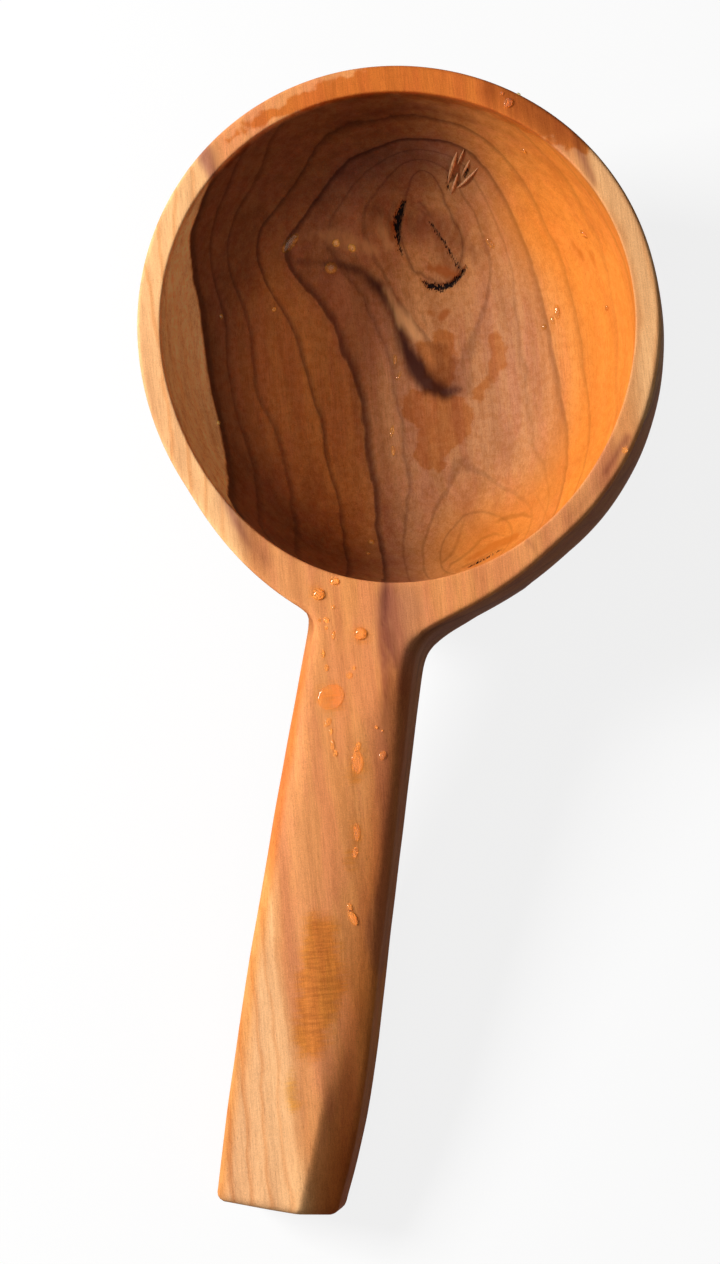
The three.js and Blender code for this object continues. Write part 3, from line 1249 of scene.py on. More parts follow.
BEADS = (
    Bead((-9.8, -75.5, 0.0), 1.55, 0.55), Bead((-5.8, -71.4, 0.0), 0.95, 0.5, 1.2, 80.0),
    Bead((333, 607), 0.4), Bead((326, 620), 0.62, 0.45, 1.2, 60.0), Bead((-8.4, -82.6, 0.0), 0.36),
    Bead((326, 628), 0.34), Bead((-3.9, -86.2, 0.0), 0.28, 0.5, 3.0, 5.0),
    Bead((3.5, -84.8, 0.0), 1.6, 0.5), Bead((323, 654), 0.42, 0.45, 2.0, 8.0),
    Bead((-4.4, -95.4, 0.0), 0.46, 0.4, 1.5, 10.0), Bead((354, 668), 0.35),
    Bead((2.2, -96.6, 0.0), 0.72, 0.35, 1.1, 120.0), Bead((331, 697), 3.25, 0.11, 1.15, 125.0),
    Bead((-1.9, -110.1, 0.0), 0.7, 0.35, 1.6, 150.0),
    Bead((-0.7, -112.4, 0.0), 0.5, 0.4, 1.3, 10.0), Bead((0.4, -116.0, 0.0), 0.45, 0.4, 2.6, 12.0),
    Bead((1.5, -118.2, 0.0), 0.55, 0.4, 1.3, 30.0), Bead((357, 762), 1.5, 0.13, 1.9, 10.0),
    Bead((7.3, -115.6, 0.0), 0.6, 0.3, 2.0, 160.0), Bead((11.6, -109.6, 0.0), 0.32),
    Bead((13.2, -110.3, 0.0), 0.26), Bead((381, 755), 0.75, 0.4, 1.4, 165.0),
    Bead((356, 832), 0.8, 0.2, 2.6, 10.0), Bead((10.7, -144.0, 0.0), 0.7, 0.18, 1.8, 0.0),
    Bead((12.5, -161.4, 0.0), 0.85, 0.4, 2.4, 35.0),
    Bead((11.4, -158.9, 0.0), 0.55, 0.4, 1.8, 20.0), Bead((508, 103), 1.25, 0.5),
    Bead((21.0, 69.5, 0.0), 0.45), Bead((625, 450), 0.75, 0.45), Bead((25.5, 70.0, 0.0), 0.5),
    Bead((331, 268), 1.75, 0.55), Bead((336, 243), 1.1, 0.5), Bead((352, 248), 1.0, 0.5, 1.2, 40.0),
    Bead((290, 243), 1.5, 0.5, 2.2, 150.0), Bead((544, 327), 0.75, 0.45),
    Bead((557, 312), 0.9, 0.45, 2.2, 10.0), Bead((36.3, 19.6, 0.0), 0.6, 0.4, 1.8, 30.0),
    Bead((607, 308), 0.7, 0.4), Bead((371, 542), 0.85, 0.4), Bead((368, 553), 0.55, 0.4),
    Bead((26.0, 60.5, 0.0), 0.6), Bead((395, 360), 0.5, 0.4, 2.5, 10.0),
    Bead((-9.0, -0.5, 0.0), 0.4, 0.4, 2.8, 160.0), Bead((-8.4, -18.0, 0.0), 0.5, 0.35, 3.0, 0.0),
    Bead((-7.0, -24.0, 0.0), 0.45, 0.35, 3.0, 15.0), Bead((-48.5, 14.0, 0.0), 0.6),
    Bead((-61.0, 7.5, 0.0), 0.7), Bead((-55.4, -25.5, 0.0), 0.6),
    Bead((44.5, 41.5, 0.0), 0.8, 0.4, 1.8, 60.0), Bead((14.5, 41.0, 0.0), 0.7, 0.4, 2.2, 40.0),
)


@dataclass(frozen=True)
class Timber:
    """The log the scoop was carved from: how old the wood is, in rings, at every point.

    The rings run round a pith that slants through the bowl. Each line seen on the wood then pulls
    them, nearby, to run through its points.
    """

    pith_x: float = 8.0
    pith_z: float = -41.0
    lean: float = 0.26
    pull: float = 21.0
    slack: float = 0.06

    def plain(self, p: Array) -> Array:
        """Give the distance from the pith."""
        across = (p[..., 0] - self.pith_x + self.lean * p[..., 1]) / math.hypot(1.0, self.lean)
        return np.hypot(across, p[..., 2] - self.pith_z)

    def rings(self, p: Array, sight: Sight) -> Array:
        """Work out the ring level of the wood.

        Args:
            p: Points of it.
            sight: What the growth lines' pixels show.

        Returns:
            The level at each.
        """
        seen = np.array([sight.on_wood(q) for line in GROWTH_LINES for q in line.points])
        levels = np.array([line.level for line in GROWTH_LINES for _ in line.points])

        def near(a: Array) -> Array:
            """Give how strongly each seen point pulls at points."""
            square = (a**2).sum(-1)[:, None] + (seen**2).sum(-1)[None] - 2.0 * a @ seen.T
            return np.exp(-np.maximum(square, 0.0) / self.pull**2)

        weights = np.linalg.solve(
            near(seen) + self.slack * np.eye(len(seen)), levels - self.plain(seen)
        )
        return self.plain(p) + near(p) @ weights


@dataclass(frozen=True)
class Toning:
    """How the wood's tone, and the shade and glow painted on it, differ from place to place, as fades
    between two level distances.
    """

    lip: Pair = (0.3, 3.0)
    lines_right: Pair = (5.0, 30.0)
    lines_right_loss: float = 0.35
    lines_handle: Pair = (75.0, 110.0)
    lines_plain: float = 0.12
    lines_handle_loss: float = 0.07
    lines_outside: float = 0.38
    # Where the outside below the rim takes painted shade, up to the neck.
    below_rim: Pair = (0.8, 2.6)
    before_neck: Pair = (-96.0, -78.0)
    # Painted shade on the hollow's left and top walls, fading out to the right, and a darker right
    # floor.
    wall: Pair = (-55.0, -34.0)
    shade_fades_right: Pair = (-0.34, 0.58)
    floor_right: Pair = (-12.0, 16.0)
    floor_darkening: float = 0.30
    # A painted glow on the hollow's right walls, where the light falls.
    lit_glow_up: Pair = (-57.0, -44.0)
    lit_glow_right: Pair = (-0.1, 0.6)
    left_band: Pair = (2.0, 4.4)
    right_band: Pair = (1.0, 10.0)
    right_warmth: float = 0.8
    band_starts: Pair = (84.0, 100.0)
    # Painted shade down the left of the handle's far half.
    left_end_shade_starts: Pair = (130.0, 190.0)
    left_end_shade_ends: Pair = (5.0, 12.0)
    # Painted shade on the handle's right corner near its end.
    corner_shade_band: Pair = (2.0, 11.0)
    corner_shade_starts: Pair = (186.0, 232.0)

    def tones(self, p: Array, inner: Array, shape: ScoopShape) -> dict[Tone, Array]:
        """Work out the tones.

        Args:
            p: Points of the skin.
            inner: 1 where they lie in the hollow, 0 elsewhere.
            shape: The scoop's sizes.

        Returns:
            HOLLOW, in the bowl; DRAWN, how dark the ring lines show; DAMP, painted
            shade on the hollow's left and top walls, with a darker right floor; AMBER, a painted glow
            where the light falls on its right walls; OUTER, below the rim outside, where painted shade
            is laid; WARM, along the handle's edges; RIPE, painted shade down its left side; and
            UMBER, painted shade on its right corner.
        """
        x, y, z = p.T
        right_share = x / np.maximum(np.hypot(x, y), 1e-6)
        hollow = inner * smoothstep(-z, *self.lip)
        # The outside below the rim: its ring lines show darker, and it takes painted shade.
        outer = (1.0 - inner) * smoothstep(-z, *self.below_rim)
        outer = outer * smoothstep(y, *self.before_neck)
        drawn_in = 1.0 - self.lines_right_loss * smoothstep(x, *self.lines_right)
        drawn = self.lines_plain - self.lines_handle_loss * smoothstep(-y, *self.lines_handle)
        drawn += self.lines_outside * outer
        # Painted shade on the hollow's left and top walls, which the light from the left leaves in
        # shade; the right floor is made a little darker too.
        wall = smoothstep(z, *self.wall)
        darkening = wall * (1.0 - smoothstep(right_share, *self.shade_fades_right))
        darkening += self.floor_darkening * (1.0 - wall) * smoothstep(x, *self.floor_right)
        left_edge, right_edge, _, _ = shape.handle_sides(y)
        band = np.maximum(
            1.0 - smoothstep(x - left_edge, *self.left_band),
            self.right_warmth * (1.0 - smoothstep(right_edge - x, *self.right_band)),
        )
        # A painted glow on the hollow's right walls, where the light falls.
        amber = smoothstep(z, *self.lit_glow_up) * smoothstep(right_share, *self.lit_glow_right)
        # Painted shade on the handle's right corner near its end.
        corner = 1.0 - smoothstep(right_edge - x, *self.corner_shade_band)
        return {
            Tone.HOLLOW: hollow,
            Tone.DRAWN: drawn + (drawn_in - drawn) * hollow,
            Tone.DAMP: hollow * darkening,
            Tone.AMBER: hollow * amber,
            Tone.OUTER: outer,
            Tone.WARM: band * smoothstep(-y, *self.band_starts),
            # Painted shade down the left of the handle's far half.
            Tone.RIPE: smoothstep(-y, *self.left_end_shade_starts) * (1.0 - smoothstep(x, *self.left_end_shade_ends)),
            Tone.UMBER: corner * smoothstep(-y, *self.corner_shade_starts),
        }


@dataclass(frozen=True)
class Splinter:
    """A sliver torn up from the knot: points along it, how far its middle lifts, and its width."""

    points: tuple[Pixel | Place, ...]
    lift: float
    width: float


SPLINTERS = (
    Splinter(((457, 152), (452, 168), (448, 184)), 0.7, 0.62),
    Splinter(((458, 173), (454, 185), (450, 197)), 0.5, 0.5),
    Splinter(((478, 168), (464, 182), (456, 188)), 0.6, 0.45),
    Splinter(((470, 160), (6.5, 59.6, -37.1), (462, 176)), 0.5, 0.4),
    Splinter(((6.3, 62.8, -30.6), (5.0, 61.4, -34.0), (3.6, 59.8, -37.0)), 0.3, 0.3),
)


class ShapeTree:
    """A Geometry Nodes tree with named inputs, which ends as one plain mesh."""

    def __init__(self, name: str, sizes: dict[str, float]) -> None:
        """Start a tree.

        Args:
            name: Its name.
            sizes: The numbers it is given, by name.
        """
        self.sizes = sizes
        self.tree = bpy.data.node_groups.new(name, "GeometryNodeTree")
        face = self.tree.interface
        face.new_socket("Geometry", in_out="INPUT", socket_type="NodeSocketGeometry")
        face.new_socket("Finish", in_out="INPUT", socket_type="NodeSocketMaterial")
        for label in sizes:
            face.new_socket(label, in_out="INPUT", socket_type="NodeSocketFloat")
        face.new_socket("Geometry", in_out="OUTPUT", socket_type="NodeSocketGeometry")
        self.given = self.tree.nodes.new("NodeGroupInput").outputs

    def node(
        self, kind: str, feeds: dict[int | str, object] | None = None, **settings: object
    ) -> Sequence[Socket]:
        """Add a node.

        Args:
            kind: Which.
            feeds: What goes into its sockets: a number, a text or another node's output.
            **settings: Its own settings.

        Returns:
            Its outputs.
        """
        made = self.tree.nodes.new(kind)
        for name, value in settings.items():
            setattr(made, name, value)
        for socket, value in (feeds or {}).items():
            if isinstance(value, Socket):
                self.tree.links.new(value, made.inputs[socket])
            else:
                made.inputs[socket].default_value = value
        return made.outputs

    def own(self, name: str, kind: str = "FLOAT") -> Socket:
        """Read one of the points' own attributes."""
        return self.node("GeometryNodeInputNamedAttribute", {"Name": name}, data_type=kind)[0]

    def grow(
        self, seeds: bpy.types.Object, shape: Socket, finish: bpy.types.Material
    ) -> bpy.types.Object:
        """Realize the tree's shape from its seeds as a plain mesh.

        Args:
            seeds: The object whose points or curves the shapes grow from. It is used up.
            shape: The tree's last geometry.
            finish: The material of all of it.

        Returns:
            The finished piece, which takes the seeds' name.
        """
        real = self.node("GeometryNodeRealizeInstances", {0: shape})[0]
        painted = self.node(
            "GeometryNodeSetMaterial", {"Geometry": real, "Material": self.given["Finish"]}
        )
        out = self.tree.nodes.new("NodeGroupOutput")
        self.tree.links.new(painted[0], out.inputs[0])
        modifier = seeds.modifiers.new("shape", "NODES")
        modifier.node_group = self.tree
        values = dict(self.sizes, Finish=finish)
        for item in self.tree.interface.items_tree:
            if item.in_out == "INPUT" and item.name in values:
                modifier[item.identifier] = values[item.name]
        bpy.context.view_layer.update()
        depsgraph = bpy.context.evaluated_depsgraph_get()
        mesh = bpy.data.meshes.new_from_object(seeds.evaluated_get(depsgraph))
        name = seeds.name
        seeds.modifiers.clear()
        bpy.data.objects.remove(seeds)
        mesh.name = name
        return place_object(name, mesh)


@dataclass(frozen=True)
class Noise:
    """A noise over the wood: its scale, detail and roughness, and how its place is stretched."""

    scale: float
    detail: float
    rough: float = 0.5
    stretch: Place = (1.0, 1.0, 1.0)


class Graph:
    """Short ways to lay out a material's or a world's nodes."""

    def __init__(self, owner: bpy.types.Material | bpy.types.World) -> None:
        """Start from an empty tree.

        Args:
            owner: The material or world that it belongs to.
        """
        owner.use_nodes = True
        self.tree = owner.node_tree
        self.tree.nodes.clear()

    def node(self, kind: str, **settings: object) -> bpy.types.Node:
        """Add a node.

        Args:
            kind: Which.
            **settings: Its own settings.

        Returns:
            The node.
        """
        made = self.tree.nodes.new(kind)
        for name, value in settings.items():
            setattr(made, name, value)
        return made

    def feed(self, socket: Socket, value: Feed) -> None:
        """Link a socket, or set it.

        Args:
            socket: An input.
            value: A socket to link it to, a number or a colour.
        """
        if isinstance(value, Socket):
            self.tree.links.new(value, socket)
        elif isinstance(value, tuple) and socket.type == "RGBA":
            socket.default_value = (*value, 1.0)
        else:
            socket.default_value = value

    def calc(self, kind: str, a: Feed, b: Feed = 0.0, c: Feed = 0.0) -> Socket:
        """Add a Math node.

        Args:
            kind: What it does.
            a: Its first value.
            b: Its second.
            c: Its third.

        Returns:
            Its result.
        """
        made = self.node("ShaderNodeMath", operation=kind)
        for socket, value in zip(made.inputs, (a, b, c)):
            self.feed(socket, value)
        return made.outputs[0]

    def frayed(self, value: Feed, noise: Socket, by: float) -> Socket:
        """Move a number up and down by a noise."""
        return self.calc("ADD", value, self.calc("MULTIPLY_ADD", noise, by, -by / 2.0))

    def evened(self, noise: Socket, by: float) -> Socket:
        """Turn a noise into a factor that moves round 1."""
        return self.calc("MULTIPLY_ADD", noise, by, 1.0 - by / 2.0)

    def span(
        self, value: Feed, fade: Pair, to_low: float = 0.0, to_high: float = 1.0
    ) -> Socket:
        """Add a smooth Map Range node.

        Args:
            value: What it reads.
            fade: Where its result leaves its low end and where it reaches its high one.
            to_low: The low end.
            to_high: The high end.

        Returns:
            Its result.
        """
        made = self.node("ShaderNodeMapRange", interpolation_type="SMOOTHSTEP")
        for socket, item in zip(made.inputs, (value, *fade, to_low, to_high)):
            self.feed(socket, item)
        return made.outputs["Result"]

    def noise(self, place: Socket, kind: Noise) -> Socket:
        """Add a noise texture.

        Args:
            place: What it reads.
            kind: Its sizes.

        Returns:
            Its value.
        """
        made = self.node("ShaderNodeTexNoise")
        self.feed(made.inputs["Vector"], self.move(place, scale=kind.stretch))
        self.feed(made.inputs["Scale"], kind.scale)
        self.feed(made.inputs["Detail"], kind.detail)
        self.feed(made.inputs["Roughness"], kind.rough)
        return made.outputs["Fac"]

    def ramp(self, value: Socket, stops: tuple[Stop, ...]) -> Socket:
        """Add a colour ramp over the ring levels.

        Args:
            value: The ring level.
            stops: A level and the colour there, from the pith outwards.

        Returns:
            Its colour.
        """
        made = self.node("ShaderNodeValToRGB")
        elements = made.color_ramp.elements
        for i, (level, colour) in enumerate(stops):
            element = elements[i] if i < 2 else elements.new(1.0)
            element.position = level / RING_SCALE
            element.color = (*colour, 1.0)
        self.feed(made.inputs[0], self.calc("DIVIDE", value, RING_SCALE))
        return made.outputs["Color"]

    def mix(self, amount: Feed, a: Feed, b: Feed, kind: str = "MIX") -> Socket:
        """Add a colour mix.

        Args:
            amount: How much of b shows.
            a: The first colour.
            b: The second.
            kind: How it blends them.

        Returns:
            Its colour.
        """
        made = self.node("ShaderNodeMix", data_type="RGBA", blend_type=kind)
        self.feed(made.inputs[0], amount)
        self.feed(made.inputs[6], a)
        self.feed(made.inputs[7], b)
        return made.outputs[2]

    def tinted(self, amount: Feed, colour: Socket, tint: Feed) -> Socket:
        """Multiply a colour by a tint, as far as an amount says."""
        return self.mix(amount, colour, self.mix(1.0, colour, tint, "MULTIPLY"))

    def move(
        self, place: Socket, location: Place = (0.0, 0.0, 0.0), turn: Place = (0.0, 0.0, 0.0),
        scale: Place = (1.0, 1.0, 1.0),
    ) -> Socket:
        """Add a Mapping node.

        Args:
            place: What it moves.
            location: By how much.
            turn: How it turns it.
            scale: How it stretches it first.

        Returns:
            Its vector.
        """
        made = self.node("ShaderNodeMapping")
        self.feed(made.inputs["Vector"], place)
        made.inputs["Location"].default_value = location
        made.inputs["Rotation"].default_value = turn
        made.inputs["Scale"].default_value = scale
        return made.outputs[0]

    def own(self, trait: Trace | Tone) -> Socket:
        """Read one of the piece's own attributes."""
        return self.node("ShaderNodeAttribute", attribute_name=trait.value).outputs["Fac"]

    def looked_at(self) -> Socket:
        """Tell the rays of the camera, straight, mirrored or through water.

        Returns:
            1 for them, 0 else.
        """
        path = self.node("ShaderNodeLightPath").outputs
        seen = path["Is Camera Ray"]
        for kind in ("Is Glossy Ray", "Is Transmission Ray"):
            seen = self.calc("MAXIMUM", seen, path[kind])
        return seen

    def finish(self, kind: str, shader: bpy.types.Node) -> None:
        """Lead a shader to the tree's output of this kind."""
        self.feed(self.node(kind).inputs["Surface"], shader.outputs[0])


@dataclass(frozen=True)
class RingLine:
    """A line that a ring draws: the levels where it starts, is darkest and ends, and how dark."""

    start: float
    peak: float
    end: float
    depth: float
    foot: float = 0.0


def line_stops(lines: tuple[RingLine, ...]) -> tuple[Stop, ...]:
    """Turn ring lines into a ramp's stops, grey on black.

    Args:
        lines: The lines, from the pith outwards.

    Returns:
        A level and a grey for each stop.
    """
    stops = [(0.0, (0.0,) * 3)]
    for line in lines:
        stops.append((line.start, (line.foot,) * 3))
        stops.append((line.peak, (line.depth,) * 3))
        stops.append((line.end, (0.0,) * 3))
    return tuple(stops)


class Fray(Enum):
    """What frays the edge of a coat."""

    FIBRES = "fibres"
    STREAKS = "streaks"
    SPECKS = "specks"


@dataclass(frozen=True)
class Coat:
    """A colour, or a tint, laid on the wood where it has a mark.

    It fades in between two distances from the mark's edge, which a noise frays.
    """

    trace: Trace
    fray: Fray
    by: float
    fade: Pair
    most: float
    colour: Colour
    tints: bool = False


@dataclass(frozen=True)
class Ground:
    """What the layers of the wood share: its places, its rings and its noises."""

    level: Socket
    grain: Socket
    streak: Socket
    rings: Socket
    hollow: Socket
    fibres: Socket
    specks: Socket
    fine: Socket


@dataclass(frozen=True)
class CarvedWood:
    """Unvarnished teak-like wood, cut across its heartwood, sapwood and knot."""

    ring_colours: tuple[Stop, ...] = (
        (0.0, (0.66, 0.25, 0.082)), (10.0, (0.67, 0.26, 0.10)), (20.0, (0.63, 0.26, 0.118)),
        (27.2, (0.60, 0.23, 0.098)), (30.0, (0.76, 0.29, 0.095)), (37.0, (0.78, 0.30, 0.092)),
        (45.0, (0.76, 0.295, 0.095)), (60.0, (0.77, 0.31, 0.11)), (67.5, (0.76, 0.31, 0.105)),
        (70.0, (0.80, 0.37, 0.14)), (71.2, (0.88, 0.46, 0.195)), (76.0, (0.90, 0.49, 0.215)),
        (100.0, (0.86, 0.43, 0.19)),
    )
    heart_lines: tuple[RingLine, ...] = (
        RingLine(8.5, 9.0, 9.5, 0.55), RingLine(14.5, 15.0, 15.6, 0.50),
        RingLine(20.5, 21.0, 21.6, 0.45), RingLine(26.2, 28.0, 28.5, 0.85),
        RingLine(36.2, 37.9, 38.4, 0.6), RingLine(50.0, 51.8, 52.4, 0.45),
        RingLine(59.0, 60.9, 61.5, 0.45), RingLine(67.0, 69.8, 70.6, 0.95, 0.1),
    )
    sap_lines: tuple[RingLine, ...] = (
        RingLine(73.5, 74.4, 74.8, 0.5), RingLine(77.6, 78.6, 79.0, 0.6),
        RingLine(81.2, 82.4, 82.8, 0.6), RingLine(85.5, 86.5, 87.0, 0.7),
    )
    coats: tuple[Coat, ...] = (
        Coat(Trace.STAIN, Fray.FIBRES, 2.4, (-1.8, 1.8), 0.92, (0.07, 0.022, 0.018)),
        Coat(Trace.SHADE, Fray.STREAKS, 6.0, (-4.0, 4.0), 0.75, (0.50, 0.40, 0.46), True),
        # Painted bounce light on the pale sapwood of the hollow's shaded left wall.
        Coat(Trace.PALE, Fray.FIBRES, 5.0, (-2.0, 2.0), 0.75, (0.95, 0.52, 0.22)),
        Coat(Trace.PURPLE, Fray.SPECKS, 2.0, (-2.0, 1.0), 0.85, (0.50, 0.36, 0.52), True),
        Coat(Trace.VEIN, Fray.FIBRES, 0.8, (-0.6, 0.6), 0.5, (0.16, 0.045, 0.018)),
        Coat(Trace.FLUSH, Fray.FIBRES, 3.0, (-1.0, 0.8), 0.7, (0.42, 0.10, 0.018)),
    )
    tints: tuple[tuple[Tone, float, Colour], ...] = (
        # A painted glow where the light falls on the hollow's right walls; then a warmer tint along
        # the handle's edges.
        (Tone.AMBER, 1.0, (0.95, 0.69, 0.38)), (Tone.WARM, 0.9, (0.97, 0.73, 0.43)),
        # Painted shade down the left of the handle's far half, then on its right corner near the end.
        (Tone.RIPE, 1.0, (0.88, 0.86, 0.90)), (Tone.UMBER, 1.0, (0.60, 0.46, 0.36)),
        # Painted shade on the outside below the rim.
        (Tone.OUTER, 1.0, (0.44, 0.36, 0.28)),
    )
    streak_stretch: Place = (1.0, 0.055, 1.0)
    sway: Noise = Noise(0.07, 2.0)
    sway_by: float = 3.0
    fibres: Noise = Noise(0.5, 3.0, stretch=(1.0, 0.2, 1.0))
    fibres_by: float = 1.0
    streaks: Noise = Noise(0.5, 3.0)
    fine: Noise = Noise(2.4, 4.0, 0.6)
    fine_by: float = 0.56
    wide: Noise = Noise(0.22, 3.0, 0.55)
    wide_by: float = 0.8
    specks: Noise = Noise(2.8, 3.0, 0.7)
    specks_by: float = 0.70
    pores: Noise = Noise(1.0, 2.0, 0.6, (4.2, 0.42, 4.2))
    pores_fade: Pair = (0.26, 0.42)
    pores_light: float = 0.78
    light_fade: Pair = (0.55, 1.35)
    dim: Colour = (0.72, 0.64, 0.62)
    bright: Colour = (1.30, 1.36, 1.38)
    hollow_tint: Colour = (0.95, 1.12, 1.08)
    sapwood_fade: Pair = (69.5, 71.5)
    sapwood: Colour = (1.0, 0.86, 0.50)
    sap_line: Colour = (0.80, 0.54, 0.34)
    sap_line_loss: float = 0.4
    heart_line: Colour = (0.085, 0.025, 0.022)
    blush: Noise = Noise(0.16, 3.0, 0.6, (1.0, 0.16, 1.0))
    blush_until: Pair = (66.0, 70.5)
    blush_tint: Colour = (0.98, 0.90, 1.0)
    mottle: Noise = Noise(0.45, 5.0, 0.7)
    mottle_plain: float = 0.2
    mottle_tint: Colour = (0.90, 0.82, 0.74)
    patch_fade: Pair = (0.42, 0.62)
    heart_until: Pair = (68.5, 70.5)
    # The grey of the painted shade on the hollow's walls.
    shade_and_dark_floor_tint: Colour = (0.35, 0.37, 0.53)
    # The colour of the painted glow on the hollow's right walls, and how far it mixes in.
    amber: Colour = (0.90, 0.40, 0.085)
    lit_glow_most: float = 0.35
    shore: Noise = Noise(0.2, 2.0)
    wet_by: float = 8.0
    wet_fade: Pair = (-0.8, 0.8)
    wet_most: float = 0.92
    wet_rim: Colour = (0.80, 0.51, 0.23)
    wet_hollow: Colour = (0.87, 0.67, 0.45)
    across: Noise = Noise(1.0, 2.0, 0.6, (0.16, 1.5, 0.6))
    oiled_by: Pair = (4.0, 5.0)
    oiled_fade: Pair = (-2.2, 2.4)
    oiled_most: float = 0.9
    ochre_fade: Pair = (0.32, 0.66)
    ochre_dark: Colour = (0.73, 0.57, 0.23)
    ochre_pale: Colour = (0.95, 0.81, 0.35)
    fringe: Noise = Noise(1.0, 2.0, stretch=(3.0, 0.9, 0.9))
    bark_by: float = 4.0
    bark_fade: Pair = (-0.3, 0.3)
    bark: Colour = (0.012, 0.008, 0.008)
    roughness: float = 0.6
    wet_gloss: float = 0.3
    specular: float = 0.02
    bump_strength: float = 0.25
    bump_height: float = 0.0003

    def ground(self, g: Graph, place: RestPlace, lean: float) -> Ground:
        """Lay out what the layers share.

        Args:
            g: The material's graph.
            place: Where the scoop stands, to turn its places back level.
            lean: How the grain slants, in x for each y.

        Returns:
            The sockets that the layers read.
        """
        where = g.node("ShaderNodeTexCoord").outputs["Object"]
        shift = -(Matrix.Rotation(-place.tilt, 3, "X") @ Vector(place.origin)) / MM
        level = g.move(where, tuple(shift), (-place.tilt, 0.0, 0.0), (1 / MM,) * 3)
        grain = g.move(level, turn=(0.0, 0.0, -math.atan(lean)))
        streak = g.move(grain, scale=self.streak_stretch)
        fibres = g.noise(grain, self.fibres)
        rings = g.node("ShaderNodeAttribute", attribute_name=RINGS).outputs["Fac"]
        rings = g.frayed(rings, g.noise(grain, self.sway), self.sway_by)
        rings = g.frayed(rings, fibres, self.fibres_by)
        return Ground(
            level, grain, streak, rings, g.own(Tone.HOLLOW), fibres,
            g.noise(level, self.specks), g.noise(streak, self.fine),
        )

    def ringed(self, g: Graph, ground: Ground) -> Socket:
        """Colour the rings.

        Args:
            g: The material's graph.
            ground: What the layers share.

        Returns:
            The colour of the plain wood with its ring lines.
        """
        rings, hollow = ground.rings, ground.hollow
        base = g.tinted(hollow, g.ramp(rings, self.ring_colours), self.hollow_tint)
        sapwood = g.calc("MULTIPLY", g.span(rings, self.sapwood_fade), hollow)
        base = g.mix(sapwood, base, self.sapwood)
        late = g.ramp(rings, line_stops(self.sap_lines))
        late = g.calc("MULTIPLY", late, g.calc("MULTIPLY_ADD", hollow, -self.sap_line_loss, 1.0))
        base = g.tinted(late, base, self.sap_line)
        lines = g.ramp(rings, line_stops(self.heart_lines))
        return g.mix(g.calc("MULTIPLY", lines, g.own(Tone.DRAWN)), base, self.heart_line)

    def grained(self, g: Graph, ground: Ground, colour: Socket) -> Socket:
        """Lay the grain over the wood.

        Args:
            g: The material's graph.
            ground: What the layers share.
            colour: The wood so far.

        Returns:
            The wood with its streaks, pores, specks, blushes and mottles.
        """
        pores = g.span(g.noise(ground.grain, self.pores), self.pores_fade, self.pores_light)
        light = g.evened(ground.fine, self.fine_by)
        for factor in (
            g.evened(g.noise(ground.streak, self.wide), self.wide_by), pores,
            g.evened(ground.specks, self.specks_by),
        ):
            light = g.calc("MULTIPLY", light, factor)
        tint = g.mix(g.span(light, self.light_fade), self.dim, self.bright)
        colour = g.mix(1.0, colour, tint, "MULTIPLY")
        blush = g.span(g.noise(ground.grain, self.blush), self.patch_fade)
        old = g.span(ground.rings, self.blush_until, 1.0, 0.0)
        colour = g.tinted(g.calc("MULTIPLY", blush, old), colour, self.blush_tint)
        mottle = g.span(g.noise(ground.level, self.mottle), self.patch_fade)
        share = g.calc("MULTIPLY_ADD", ground.hollow, 1.0 - self.mottle_plain, self.mottle_plain)
        return g.tinted(g.calc("MULTIPLY", mottle, share), colour, self.mottle_tint)

    def marked(self, g: Graph, ground: Ground, colour: Socket) -> Socket:
        """Lay the coats over the wood.

        Args:
            g: The material's graph.
            ground: What the layers share.
            colour: The wood so far.

        Returns:
            The wood with its stains, shades and veins, and painted bounce light on the hollow's left
            wall.
        """
        noises = {
            Fray.FIBRES: ground.fibres,
            Fray.STREAKS: g.noise(ground.streak, self.streaks),
            Fray.SPECKS: ground.specks,
        }
        for coat in self.coats:
            amount = g.frayed(g.own(coat.trace), noises[coat.fray], coat.by)
            amount = g.span(amount, coat.fade, 0.0, coat.most)
            lay = g.tinted if coat.tints else g.mix
            colour = lay(amount, colour, coat.colour)
        return colour

    def toned(self, g: Graph, ground: Ground, colour: Socket) -> Socket:
        """Tone the wood from place to place, and paint shade and a glow on it.

        Args:
            g: The material's graph.
            ground: What the layers share.
            colour: The wood so far.

        Returns:
            The wood with its painted shade, its painted glow and its warm edges.
        """
        # Painted shade on the hollow's walls, on the heartwood only.
        heart = g.span(ground.rings, self.heart_until, 1.0, 0.0)
        damp = g.calc("MULTIPLY", g.own(Tone.DAMP), heart)
        colour = g.tinted(damp, colour, self.shade_and_dark_floor_tint)
        # A painted glow where the light falls on the hollow's right walls.
        amber = g.calc("MULTIPLY", g.own(Tone.AMBER), self.lit_glow_most)
        colour = g.mix(amber, colour, self.amber)
        # The tints: a painted glow, the warmer handle edges, then painted shade on the handle's end
        # and on the outside.
        for tone, most, tint in self.tints:
            colour = g.tinted(g.calc("MULTIPLY", g.own(tone), most), colour, tint)
        return colour

    def wetted(
        self, g: Graph, ground: Ground, colour: Socket, shore: Socket, wet: Socket
    ) -> Socket:
        """Wet the wood.

        Args:
            g: The material's graph.
            ground: What the layers share.
            colour: The wood so far.
            shore: The noise that frays the patches' edges.
            wet: How wet it is.

        Returns:
            The wood with its wet and its oiled patches.
        """
        darkening = g.mix(ground.hollow, self.wet_rim, self.wet_hollow)
        colour = g.tinted(g.calc("MULTIPLY", wet, self.wet_most), colour, darkening)
        across = g.noise(ground.grain, self.across)
        oiled = g.own(Trace.OILED)
        for noise, by in zip((across, shore), self.oiled_by):
            oiled = g.frayed(oiled, noise, by)
        oiled = g.span(oiled, self.oiled_fade, 0.0, self.oiled_most)
        ochre = g.mix(g.span(across, self.ochre_fade), self.ochre_dark, self.ochre_pale)
        return g.tinted(oiled, colour, ochre)

